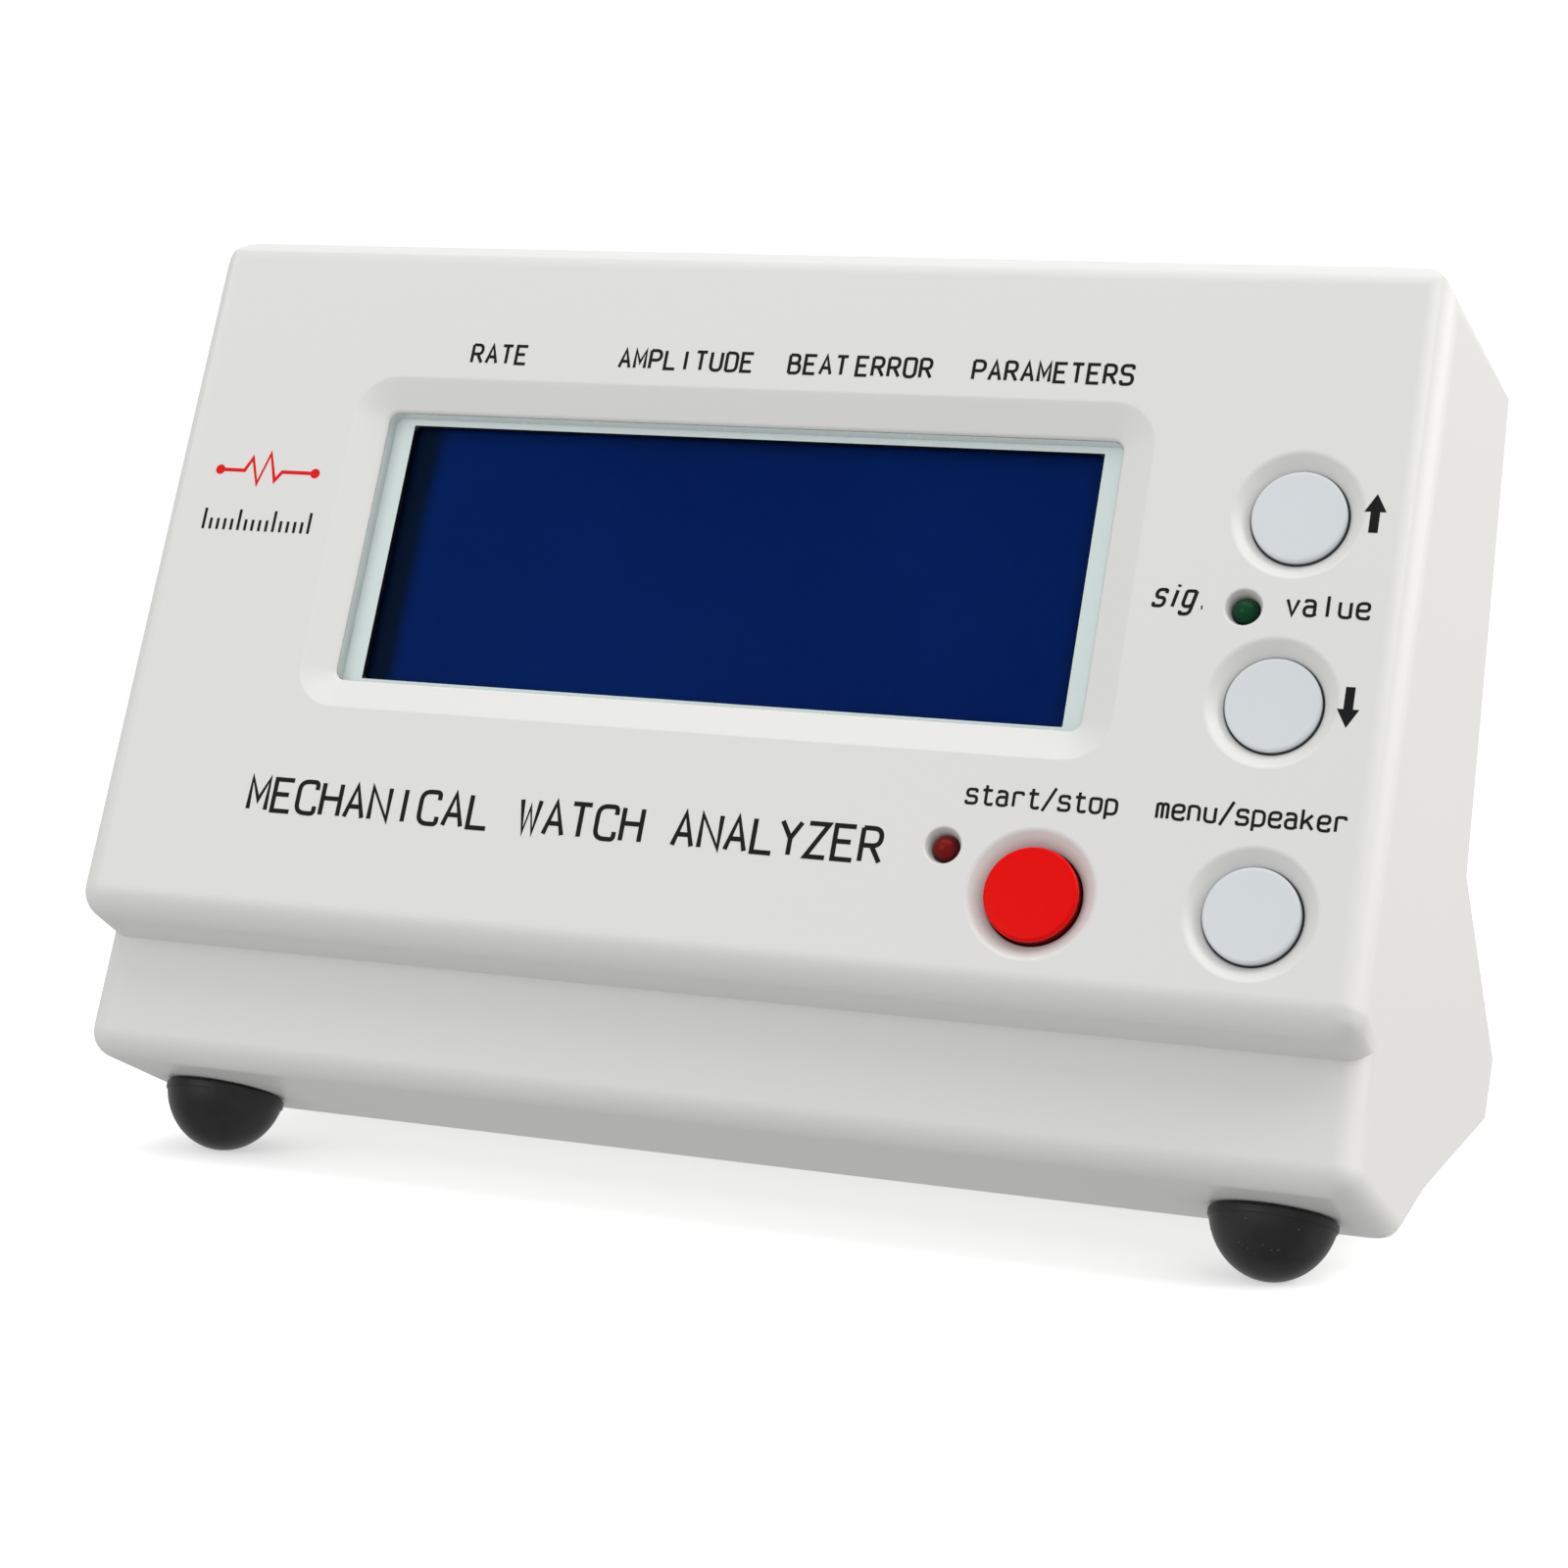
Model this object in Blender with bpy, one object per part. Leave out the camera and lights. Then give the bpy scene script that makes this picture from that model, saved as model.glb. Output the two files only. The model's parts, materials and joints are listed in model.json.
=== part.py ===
"""Watch timegrapher: a desk instrument with a leaning front panel, a graphic display and four push buttons.

Lengths are in millimetres up to the last step of each mesh, which turns them into metres.
World frame: +X to the right of someone facing the panel, +Y to the back, +Z up, origin on the table
under the middle of the case.  Panel frame: x to the right from the middle of the display window, u up
along the panel's face, n out of the face towards the user.
"""
import math

import bmesh
import bpy
from mathutils import Matrix, Vector

MM = 0.001
GAP = 0.3                  # air left between neighbours that touch

# case
LEAN = math.radians(20.0)  # the panel's face leans back from the vertical by this much
WINDOW_Y = -38.1           # middle of the window, front to back
BODY_X = 4.7               # middle of the case, to the right of the window's middle
HALF_WIDTH = 92.6
DRAFT = 0.007              # the side walls close in by this much for each unit of depth
WALL = 2.5
EDGE_RADIUS = 4.0
LIP_REAR_RADIUS = 2.4
TOP_CORNER_RADII = (6.0, 0.6)  # of the top's side edges, at the panel and at the back
SIDE = {                   # side view of the case in the panel frame, (u, n) of each corner
    "panel_top": (47.1, 0.0),
    "top_rear": (50.0, -51.7),
    "waist": (-18.2, -67.1),
    "base_top": (-34.5, -114.2),
    "base_bottom": (-44.6, -113.4),
    "lip_rear_top": (-65.6, -62.4),
    "lip_rear": (-76.3, -43.0),
    "lip_front": (-76.3, -10.4),
    "step": (-59.2, -10.4),
    "panel_bottom": (-57.8, 0.0),
}

# display, sizes are (across, up the panel)
WINDOW_SIZE = (110.0, 40.9)
WINDOW_OPENING = (110.5, 41.4)
WINDOW_RECESS = (119.2, 50.4)
WINDOW_FRONT = -2.4
WINDOW_THICKNESS = 2.0
VIEW_SIZE = (104.0, 39.0)
BEZEL_SIZE = (120.0, 52.0)
BEZEL_DEPTH = 6.0
GLASS_SIZE = (117.0, 47.0)
GLASS_THICKNESS = 2.4
BACKLIGHT_THICKNESS = 2.0
GASKET_OUTER = (118.0, 49.0)
GASKET_INNER = (111.4, 42.4)
DISPLAY_BOARD_SIZE = (130.0, 65.0)
BOARD_THICKNESS = 1.6
DISPLAY_PILLARS = [(61.8, 29.3), (61.8, -29.3), (-61.8, 29.3), (-61.8, -29.3)]

# controls
BUTTONS = {                # middle of each button on the panel and the level of its cap, (x, u, n)
    "up_button": (80.4, 10.4, -0.7),
    "down_button": (80.4, -15.5, -0.9),
    "start_stop_button": (52.5, -43.6, 0.2),
    "menu_button": (81.5, -43.7, -0.5),
}
CAP_RADIUS = 6.35
CAP_CHAMFER = 0.3
CAP_THICKNESS = 1.6        # of the cap's top and of its wall
CAP_POST_RADIUS = 2.5
CAP_FLANGE_RADIUS = 7.4
CAP_FLANGE_THICKNESS = 1.2
BUTTON_HOLE_RADIUS = 6.65
BUTTON_DISH_RADIUS = 8.65
BUTTON_DISH_DEPTH = 1.9
SWITCH_SIDE = 12.0
SWITCH_HEIGHT = 3.7
PLUNGER_RADIUS = 1.9
PLUNGER_ENTRY = 1.0        # how far the plunger stands in its switch
LAMPS = {"signal_lamp": (75.0, -2.8), "run_lamp": (39.7, -38.1)}
LAMP_RADIUS = 1.75
LAMP_RIM_RADIUS = 2.3
LAMP_RIM_THICKNESS = 0.8
LAMP_TOP = -0.2
LAMP_HEIGHT = 5.8
LAMP_HOLE_RADIUS = 2.05
LAMP_DISH_RADIUS = 2.55
LAMP_DISH_DEPTH = 1.9
BUTTON_TRAVEL_ROOM = 1.5   # under each plunger
BUTTON_BOARD_OUTLINE = [(33.5, -53.6), (93.6, -53.6), (93.6, 22.5), (68.0, 22.5), (68.0, -33.5), (33.5, -33.5)]
BUTTON_PILLARS = [(88.8, 19.0), (72.0, -28.0), (37.0, -49.5), (91.0, -50.6)]
PILLAR_RADIUS = 2.7
SCREW_DEPTH = 7.0          # of the pilot hole for a board screw
PILOT_RADIUS = 1.35

# feet
FOOT_RADIUS = 8.7
FOOT_RIM = 1.2
FOOT_DOME_RADIUS = 8.66    # half-axes of the dome, which is part of an ellipsoid
FOOT_DOME_HEIGHT = 9.57
FOOT_DOME_MIDDLE = 0.83    # of the ellipsoid, above the foot's mounting face
FOOT_X = 78.6              # from the middle of the case
FRONT_FOOT_N = -30.3
REAR_FOOT_Y = 78.0         # behind the middle of the window
FOOT_FLAT = 0.2            # how much of each dome is worn flat on the table

# rear cover, with places along its walls measured from their lower end
COVER_SCREWS = [("waist", "top_rear", 60.0), ("waist", "top_rear", 9.0), ("lip_rear_top", "base_bottom", 10.0)]
COVER_SCREW_X = 84.5
SCREW_HOLE_RADIUS = 1.6
BOSS_RADIUS = 3.2
BOSS_REACH = 6.2           # from the boss's middle into the side wall
BOSS_LENGTH = 12.0
MAIN_BOARD_SIZE = (112.0, 52.0)
MAIN_BOARD_RISE = 37.0     # middle of the board above the waist, along the rear wall
MAIN_BOARD_GAP = 11.0      # from the rear wall's inner face to the board
MAIN_PILLARS = [(52.0, 22.0), (52.0, -22.0), (-52.0, 22.0), (-52.0, -22.0)]
SPEAKER_X = 34.0
SPEAKER_ALONG = 30.0       # middle of the speaker, from the lip along the underside
SPEAKER_RADIUS = 18.0
SPEAKER_BACK = 16.0        # of the magnet, from the outside of the underside
SPEAKER_SLOT_REACH = 12.5
SPEAKER_SLOT_PITCH = 4.6
SPEAKER_SLOT_WIDTH = 2.2
POWER_SHOULDER_RADIUS = 5.2
POWER_SNOUT_RADIUS = 3.9
POWER_BORE = (3.1, 9.0)    # radius and depth, like the next one
PICKUP_SHOULDER_RADIUS = 7.2
PICKUP_SHELL_RADIUS = 6.0
PICKUP_BORE = (4.9, 8.0)
SOCKET_STAND_OUT = 0.5     # beyond the rear wall
POWER_SOCKET = (40.0, -12.0)   # on the main board, seen from behind
PICKUP_SOCKET = (-40.0, -12.0)
BOARD_BLOCKS = {               # middle, (width, height, thickness) and finish of the larger parts
    "microcontroller": ((0.0, -6.0), (14.0, 14.0, 1.8), "chip_plastic"),
    "timing_crystal": ((-22.0, -8.0), (20.0, 13.0, 5.0), "bright_steel"),
    "pickup_amplifier": ((-40.0, -6.0), (9.5, 6.5, 3.4), "chip_plastic"),
    "speaker_amplifier": ((20.0, -12.0), (9.5, 6.5, 3.4), "chip_plastic"),
    "voltage_regulator": ((32.0, 6.0), (10.0, 9.0, 4.5), "chip_plastic"),
}
CAPACITORS = [(42.0, -15.0), (30.0, -15.0)]
CAPACITOR_SIZE = (4.0, 11.0, 0.5)  # radius, height, chamfer
PLUG_DEPTH = 5.0
PLUG_HEIGHT = 5.0
RIBBON_THICKNESS = 0.9
RIBBON_PULL = 7.0              # how far a ribbon runs straight before it bends
CABLES = (                     # name, place behind the panel, place on the main board, width of the plug
    ("display", (-12.0, 20.0), (8.0, 16.0), 26.0),
    ("button", (78.0, -33.0), (-46.0, 10.0), 10.0),
)
SCREW_HEAD_RADIUS = 2.8
SCREW_HEAD_HEIGHT = 2.2
SCREW_LENGTH = 11.0

# places worked out from the sizes above
WINDOW_BACK = WINDOW_FRONT - WINDOW_THICKNESS
BEZEL_FRONT = WINDOW_BACK - GAP
BOARD_FRONT = BEZEL_FRONT - BEZEL_DEPTH - GAP
BOARD_BACK = BOARD_FRONT - BOARD_THICKNESS
MAIN_BOARD_BACK = -WALL - MAIN_BOARD_GAP
MAIN_BOARD_FRONT = MAIN_BOARD_BACK - BOARD_THICKNESS
LIP_U = SIDE["lip_front"][0]
FRONT_FOOT_REACH = math.hypot(
    FOOT_DOME_RADIUS * math.sin(LEAN), FOOT_DOME_HEIGHT * math.cos(LEAN)) - FOOT_DOME_MIDDLE * math.cos(LEAN)
WINDOW_HEIGHT = FRONT_FOOT_REACH - FOOT_FLAT - (
    (LIP_U - GAP) * math.cos(LEAN) + FRONT_FOOT_N * math.sin(LEAN))
REAR_FOOT_HEIGHT = FOOT_DOME_HEIGHT - FOOT_DOME_MIDDLE - FOOT_FLAT

COLOURS = {                # base colour, roughness, metallic
    "ivory_plastic": ((0.72, 0.71, 0.68), 0.28, 0.0),
    "clear_acrylic": ((0.80, 0.88, 0.86), 0.05, 0.0),
    "black_foam": ((0.02, 0.02, 0.02), 0.9, 0.0),
    "black_steel": ((0.03, 0.03, 0.035), 0.4, 0.8),
    "display_glass": ((0.0, 0.012, 0.09), 0.08, 0.0),
    "light_guide": ((0.85, 0.87, 0.88), 0.3, 0.0),
    "green_board": ((0.01, 0.12, 0.05), 0.45, 0.0),
    "white_button": ((0.66, 0.70, 0.74), 0.3, 0.0),
    "red_button": ((0.75, 0.015, 0.005), 0.3, 0.0),
    "black_plastic": ((0.015, 0.015, 0.016), 0.45, 0.0),
    "green_lens": ((0.0, 0.12, 0.03), 0.1, 0.0),
    "red_lens": ((0.25, 0.005, 0.01), 0.1, 0.0),
    "black_rubber": ((0.012, 0.012, 0.013), 0.5, 0.0),
    "bright_steel": ((0.62, 0.62, 0.62), 0.25, 1.0),
    "chip_plastic": ((0.02, 0.02, 0.022), 0.6, 0.0),
    "capacitor_sleeve": ((0.01, 0.02, 0.06), 0.4, 0.0),
    "grey_ribbon": ((0.45, 0.45, 0.47), 0.5, 0.0),
    "paper_cone": ((0.03, 0.03, 0.03), 0.85, 0.0),
    "ferrite": ((0.05, 0.05, 0.055), 0.6, 0.1),
}


# ---------------------------------------------------------------------------------------------------
# frames and side-view geometry

def frame(origin, across, up):
    """Matrix of a frame from its origin, its x direction and its y direction."""
    out = across.cross(up)
    return Matrix((
        (across.x, up.x, out.x, origin.x),
        (across.y, up.y, out.y, origin.y),
        (across.z, up.z, out.z, origin.z),
        (0.0, 0.0, 0.0, 1.0),
    ))


PANEL = frame(
    Vector((-BODY_X, WINDOW_Y, WINDOW_HEIGHT)),
    Vector((1.0, 0.0, 0.0)),
    Vector((0.0, math.sin(LEAN), math.cos(LEAN))),
)


def side_point(name):
    """A corner of the side view, as a 2-D vector (u, n)."""
    return Vector(SIDE[name])


def inward(start, end):
    """Unit normal of a side-view edge, pointing into the case."""
    along = (end - start).normalized()
    return Vector((along.y, -along.x))


def meet(point_a, along_a, point_b, along_b):
    """Point where two lines of the side view cross."""
    cross = along_a.x * along_b.y - along_a.y * along_b.x
    offset = point_b - point_a
    return point_a + along_a * ((offset.x * along_b.y - offset.y * along_b.x) / cross)


def offset_outline(corners, distance):
    """The closed outline moved inwards by a distance, or outwards when it is negative."""
    moved = []
    for index, corner in enumerate(corners):
        before = corners[index - 1]
        after = corners[(index + 1) % len(corners)]
        line_in = corner - before
        line_out = after - corner
        moved.append(meet(
            corner + inward(before, corner) * distance, line_in,
            corner + inward(corner, after) * distance, line_out,
        ))
    return moved


def wall_frame(low, high, along, x=0.0):
    """Frame on the outside of a rear-cover wall: z points out of the case, y up the wall."""
    start, end = side_point(low), side_point(high)
    place = start + (end - start).normalized() * along
    origin = PANEL @ Vector((BODY_X + x, place.x, place.y))
    up = PANEL.to_3x3() @ Vector((0.0, *(end - start).normalized()))
    outward = PANEL.to_3x3() @ Vector((0.0, *(-inward(end, start))))
    return frame(origin, up.cross(outward), up)


# ---------------------------------------------------------------------------------------------------
# closed shells, in millimetres of a piece's own frame

def box(mesh, low, high):
    """Add a box given by its lowest and highest corners."""
    low, high = Vector(low), Vector(high)
    place = Matrix.Translation((low + high) / 2) @ Matrix.Diagonal((*(high - low), 1.0))
    bmesh.ops.create_cube(mesh, size=1.0, matrix=place)


def plate(mesh, outline, low, high):
    """Add a flat plate with the given outline, from one height to another."""
    rings = [[mesh.verts.new((x, y, z)) for x, y in outline] for z in (low, high)]
    loft(mesh, rings)


def loft(mesh, rings, closed=False):
    """Skin a row of rings, with flat ends unless the row closes on itself."""
    count = len(rings[0])
    pairs = list(zip(rings, rings[1:]))
    if closed:
        pairs.append((rings[-1], rings[0]))
    faces = []
    for lower, upper in pairs:
        for i in range(count):
            j = (i + 1) % count
            faces.append(mesh.faces.new((lower[i], lower[j], upper[j], upper[i])))
    if not closed:
        faces.append(mesh.faces.new(list(reversed(rings[0]))))
        faces.append(mesh.faces.new(rings[-1]))
    bmesh.ops.recalc_face_normals(mesh, faces=faces)


def turned(mesh, profile, segments, centre=(0.0, 0.0), place=Matrix.Identity(4)):
    """Add a turned solid from (radius, height) points; a zero radius closes an end to a point."""
    rings = []
    for radius, height in profile:
        if radius == 0.0:
            rings.append([mesh.verts.new(place @ Vector((*centre, height)))])
            continue
        ring = []
        for step in range(segments):
            angle = 2.0 * math.pi * step / segments
            point = (centre[0] + radius * math.cos(angle), centre[1] + radius * math.sin(angle), height)
            ring.append(mesh.verts.new(place @ Vector(point)))
        rings.append(ring)
    faces = []
    for lower, upper in zip(rings, rings[1:]):
        for i in range(segments):
            j = (i + 1) % segments
            corners = [
                lower[i % len(lower)], lower[j % len(lower)], upper[j % len(upper)], upper[i % len(upper)],
            ]
            faces.append(mesh.faces.new(list(dict.fromkeys(corners))))
    for ring in (rings[0], rings[-1]):
        if len(ring) > 1:
            faces.append(mesh.faces.new(ring))
    bmesh.ops.recalc_face_normals(mesh, faces=faces)


def turned_ring(mesh, profile, segments):
    """Add a turned solid with a hole through it, from a closed run of (radius, height) points."""
    rings = []
    for step in range(segments):
        angle = 2.0 * math.pi * step / segments
        rings.append([mesh.verts.new((r * math.cos(angle), r * math.sin(angle), z)) for r, z in profile])
    loft(mesh, rings, closed=True)


def rod(mesh, radius, low, high, segments, centre=(0.0, 0.0), place=Matrix.Identity(4)):
    """Add a plain cylinder."""
    turned(mesh, [(radius, low), (radius, high)], segments, centre, place)


def rounded_rectangle(size, radius, steps=2):
    """Outline of a rectangle with round corners, anticlockwise."""
    points = []
    for corner, (sx, sy) in enumerate(((1, 1), (-1, 1), (-1, -1), (1, -1))):
        for step in range(steps + 1):
            angle = math.pi / 2 * (corner + step / steps)
            points.append((
                sx * (size[0] / 2 - radius) + radius * math.cos(angle),
                sy * (size[1] / 2 - radius) + radius * math.sin(angle),
            ))
    return points


def case_prism(mesh, outline, inset):
    """Add a solid with a side-view outline, between the drafted side walls moved in by an inset."""
    rings = []
    for side in (-1, 1):
        ring = []
        for u, n in outline:
            ring.append(mesh.verts.new((BODY_X + side * (HALF_WIDTH + DRAFT * n - inset), u, n)))
        rings.append(ring)
    loft(mesh, rings)
    return rings


# ---------------------------------------------------------------------------------------------------
# objects

def material(name):
    """The named material, made the first time it is asked for."""
    found = bpy.data.materials.get(name)
    if found:
        return found
    colour, roughness, metallic = COLOURS[name]
    made = bpy.data.materials.new(name)
    made.use_nodes = True
    shader = made.node_tree.nodes["Principled BSDF"]
    shader.inputs["Base Color"].default_value = (*colour, 1.0)
    shader.inputs["Roughness"].default_value = roughness
    shader.inputs["Metallic"].default_value = metallic
    made.diffuse_color = (*colour, 1.0)
    return made


def in_metres(place):
    """A placing matrix given in millimetres, with its origin in metres."""
    moved = place.copy()
    moved.translation = place.translation * MM
    return moved


def finish(name, mesh, finish_name, place=Matrix.Identity(4), smooth=False):
    """Turn a shell in millimetres into a named object in metres, in its place."""
    bmesh.ops.scale(mesh, vec=(MM, MM, MM), verts=mesh.verts)
    data = bpy.data.meshes.new(name)
    mesh.to_mesh(data)
    mesh.free()
    if smooth:
        data.shade_smooth()
        data.set_sharp_from_angle(angle=math.radians(35.0))
    item = bpy.data.objects.new(name, data)
    bpy.context.scene.collection.objects.link(item)
    item.matrix_world = in_metres(place)
    if finish_name:
        data.materials.append(material(finish_name))
    return item


def combine(item, operation, mesh, place):
    """Cut a shape out of an object, or join it on, with a hidden helper object."""
    helper = finish(f"{item.name}_{operation.lower()}_{len(item.modifiers)}", mesh, None, place)
    helper.hide_render = True
    helper.display_type = "WIRE"
    step = item.modifiers.new(operation.title(), "BOOLEAN")
    step.operation = operation
    step.solver = "EXACT"
    step.object = helper


# ---------------------------------------------------------------------------------------------------
# case

def case_outline():
    """The corners of the side view in order, as vectors."""
    return [side_point(name) for name in SIDE]


def cavity_outline():
    """Side view of the hollow in the front housing, which runs out of its open back."""
    names = list(SIDE)
    inner = dict(zip(names, offset_outline(case_outline(), WALL)))
    outer = dict(zip(names, offset_outline(case_outline(), -2 * WALL)))
    top_run = (side_point("top_rear") - side_point("panel_top")).normalized()
    beyond_top = inner["top_rear"] + top_run * 4 * WALL
    corners = [inner["panel_top"], beyond_top]
    corners += [outer["waist"], outer["base_top"], outer["base_bottom"], outer["lip_rear_top"]]
    corners += [inner[name] for name in ("lip_rear_top", "lip_rear", "lip_front", "step", "panel_bottom")]
    return corners


def mark_round_edges(mesh, rings):
    """Mark the edges that are rounded, each with its share of the full edge radius."""
    rear = LIP_REAR_RADIUS / EDGE_RADIUS
    across = {"panel_top": 1.0, "panel_bottom": 1.0, "lip_front": 1.0, "lip_rear": rear}
    runs = {"lip_rear": 1.0, "lip_front": 1.0, "step": 1.0, "panel_bottom": 1.0}
    share = mesh.edges.layers.float.new("bevel_weight_edge")
    names = list(SIDE)
    for index, name in enumerate(names):
        following = (index + 1) % len(names)
        if name in across:
            mesh.edges.get((rings[0][index], rings[1][index]))[share] = across[name]
        if name in runs:
            for ring in rings:
                mesh.edges.get((ring[index], ring[following]))[share] = runs[name]


def top_corners(mesh, steps=4):
    """Cutters that round the top's side edges, most at the panel and least at the back."""
    (front_u, front_n), (rear_u, rear_n) = SIDE["panel_top"], SIDE["top_rear"]
    slope = (rear_u - front_u) / (rear_n - front_n)
    past, clear = 3.0, 0.02
    for side in (-1, 1):
        rings = []
        for n, radius in zip((front_n + past, rear_n - past), TOP_CORNER_RADII):
            x = HALF_WIDTH + DRAFT * n + clear
            u = front_u + slope * (n - front_n) + clear
            section = [(x - radius, u + past), (x + past, u + past), (x + past, u - radius)]
            for step in range(steps + 1):
                angle = math.pi / 2 * step / steps
                section.append((x - radius + radius * math.cos(angle), u - radius + radius * math.sin(angle)))
            rings.append([mesh.verts.new((BODY_X + side * across, up, n)) for across, up in section])
        loft(mesh, rings)


def dish(mesh, centre, hole_radius, radius, depth, segments):
    """Cutter for a round hole through the panel with a conical dish in front of it."""
    slope = (radius - hole_radius) / depth
    section = [(hole_radius, -2 * WALL), (hole_radius, -depth), (radius + slope, 1.0)]
    turned(mesh, section, segments, centre)


def front_openings(mesh):
    """Window opening with its bevel, and the holes of the buttons and the lamps with their dishes."""
    land = WINDOW_FRONT + GAP
    window = [rounded_rectangle(WINDOW_OPENING, 1.5), rounded_rectangle(WINDOW_RECESS, 4.0)]
    slope = (WINDOW_RECESS[0] - WINDOW_OPENING[0]) / 2 / -land
    above = [(x + math.copysign(slope, x), y + math.copysign(slope, y)) for x, y in window[1]]
    heights = [(-2 * WALL, window[0]), (land, window[0]), (0.0, window[1]), (1.0, above)]
    loft(mesh, [[mesh.verts.new((x, y, z)) for x, y in outline] for z, outline in heights])
    for x, y, _ in BUTTONS.values():
        dish(mesh, (x, y), BUTTON_HOLE_RADIUS, BUTTON_DISH_RADIUS, BUTTON_DISH_DEPTH, 24)
    for centre in LAMPS.values():
        dish(mesh, centre, LAMP_HOLE_RADIUS, LAMP_DISH_RADIUS, LAMP_DISH_DEPTH, 16)


def boss_outline(side):
    """Round boss that runs on into the side wall; the wall frame's x points to the left of the case."""
    points = [(-side * BOSS_REACH, BOSS_RADIUS), (-side * BOSS_REACH, -BOSS_RADIUS)]
    for step in range(7):
        angle = -math.pi / 2 + math.pi * step / 6
        points.append((side * BOSS_RADIUS * math.cos(angle), BOSS_RADIUS * math.sin(angle)))
    return points


def front_housing():
    """Panel, top, side walls, plinth and lip in one shell that is open at the back."""
    mesh = bmesh.new()
    rings = case_prism(mesh, case_outline(), 0.0)
    mark_round_edges(mesh, rings)
    item = finish("front_housing", mesh, "ivory_plastic", PANEL)
    rounding = item.modifiers.new("Rounding", "BEVEL")
    rounding.limit_method = "WEIGHT"
    rounding.width = EDGE_RADIUS * MM
    rounding.segments = 4

    corners = bmesh.new()
    top_corners(corners)
    combine(item, "DIFFERENCE", corners, PANEL)

    cavity = bmesh.new()
    case_prism(cavity, cavity_outline(), WALL)
    combine(item, "DIFFERENCE", cavity, PANEL)

    pillars = bmesh.new()
    for centre in DISPLAY_PILLARS:
        rod(pillars, PILLAR_RADIUS, BOARD_FRONT + GAP, -WALL / 2, 12, centre)
    for centre in BUTTON_PILLARS:
        rod(pillars, PILLAR_RADIUS, BOARD_FRONT + GAP, -WALL / 2, 12, centre)
    combine(item, "UNION", pillars, PANEL)

    bosses = bmesh.new()
    for low, high, along in COVER_SCREWS:
        for side in (-1, 1):
            place = wall_frame(low, high, along, side * COVER_SCREW_X)
            boss = [place @ Vector((*point, 0.0)) for point in boss_outline(side)]
            outward = place.to_3x3() @ Vector((0.0, 0.0, 1.0))
            ends = (-WALL - GAP - BOSS_LENGTH, -WALL - GAP)
            loft(bosses, [[bosses.verts.new(point + outward * end) for point in boss] for end in ends])
    combine(item, "UNION", bosses, Matrix.Identity(4))

    openings = bmesh.new()
    front_openings(openings)
    for centre in DISPLAY_PILLARS + BUTTON_PILLARS:
        rod(openings, PILOT_RADIUS, 2 * BOARD_FRONT, BOARD_FRONT + SCREW_DEPTH, 8, centre)
    combine(item, "DIFFERENCE", openings, PANEL)

    pilots = bmesh.new()
    for low, high, along in COVER_SCREWS:
        for side in (-1, 1):
            place = wall_frame(low, high, along, side * COVER_SCREW_X)
            rod(pilots, SCREW_HOLE_RADIUS, -WALL - 10.0, 0.0, 8, (0.0, 0.0), place)
    combine(item, "DIFFERENCE", pilots, Matrix.Identity(4))


def cover_outline():
    """Side view of the rear cover: a bent plate from under the top wall to the lip."""
    names = list(SIDE)
    inner = dict(zip(names, offset_outline(case_outline(), WALL)))
    top, rear = side_point("panel_top"), side_point("top_rear")
    waist, base = side_point("waist"), side_point("base_bottom")
    under_top = top + inward(top, rear) * (WALL + GAP)
    lip = side_point("lip_rear_top")
    along = (base - lip).normalized()
    return [
        meet(under_top, rear - top, rear, waist - rear),
        waist,
        side_point("base_top"),
        base,
        lip + along * GAP,
        inner["lip_rear_top"] + along * GAP,
        inner["base_bottom"],
        inner["base_top"],
        inner["waist"],
        meet(under_top, rear - top, inner["waist"], waist - rear),
    ]


def rear_cover():
    """Bent plate that closes the back, with board pillars, foot pads and the socket holes."""
    mesh = bmesh.new()
    case_prism(mesh, cover_outline(), WALL + GAP)
    item = finish("rear_cover", mesh, "ivory_plastic", PANEL)

    pillars = bmesh.new()
    for centre in MAIN_PILLARS:
        rod(pillars, PILLAR_RADIUS, MAIN_BOARD_BACK + GAP, -WALL / 2, 12, centre)
    combine(item, "UNION", pillars, REAR_WALL)

    pads = bmesh.new()
    for side in (-1, 1):
        centre = (side * FOOT_X, WINDOW_Y + REAR_FOOT_Y)
        rod(pads, FOOT_RADIUS + GAP, REAR_FOOT_HEIGHT + GAP, REAR_FOOT_HEIGHT + WALL / 2, 20, centre)
    combine(item, "UNION", pads, Matrix.Identity(4))

    holes = bmesh.new()
    rod(holes, POWER_SNOUT_RADIUS + GAP, -WALL - GAP, GAP, 16, POWER_SOCKET)
    rod(holes, PICKUP_SHELL_RADIUS + GAP, -WALL - GAP, GAP, 20, PICKUP_SOCKET)
    for centre in MAIN_PILLARS:
        rod(holes, PILOT_RADIUS, MAIN_BOARD_BACK, MAIN_BOARD_BACK + SCREW_DEPTH, 8, centre)
    combine(item, "DIFFERENCE", holes, REAR_WALL)

    slots = bmesh.new()
    for index in range(-2, 3):
        length = 2 * math.sqrt(SPEAKER_SLOT_REACH ** 2 - (index * SPEAKER_SLOT_PITCH) ** 2)
        middle = index * SPEAKER_SLOT_PITCH
        low = (-length / 2, middle - SPEAKER_SLOT_WIDTH / 2, -WALL - GAP)
        box(slots, low, (length / 2, middle + SPEAKER_SLOT_WIDTH / 2, GAP))
    combine(item, "DIFFERENCE", slots, SPEAKER)

    holes = bmesh.new()
    for low, high, along in COVER_SCREWS:
        for side in (-1, 1):
            place = wall_frame(low, high, along, side * COVER_SCREW_X)
            rod(holes, SCREW_HOLE_RADIUS, -WALL - GAP, GAP, 8, (0.0, 0.0), place)
    combine(item, "DIFFERENCE", holes, Matrix.Identity(4))


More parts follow.
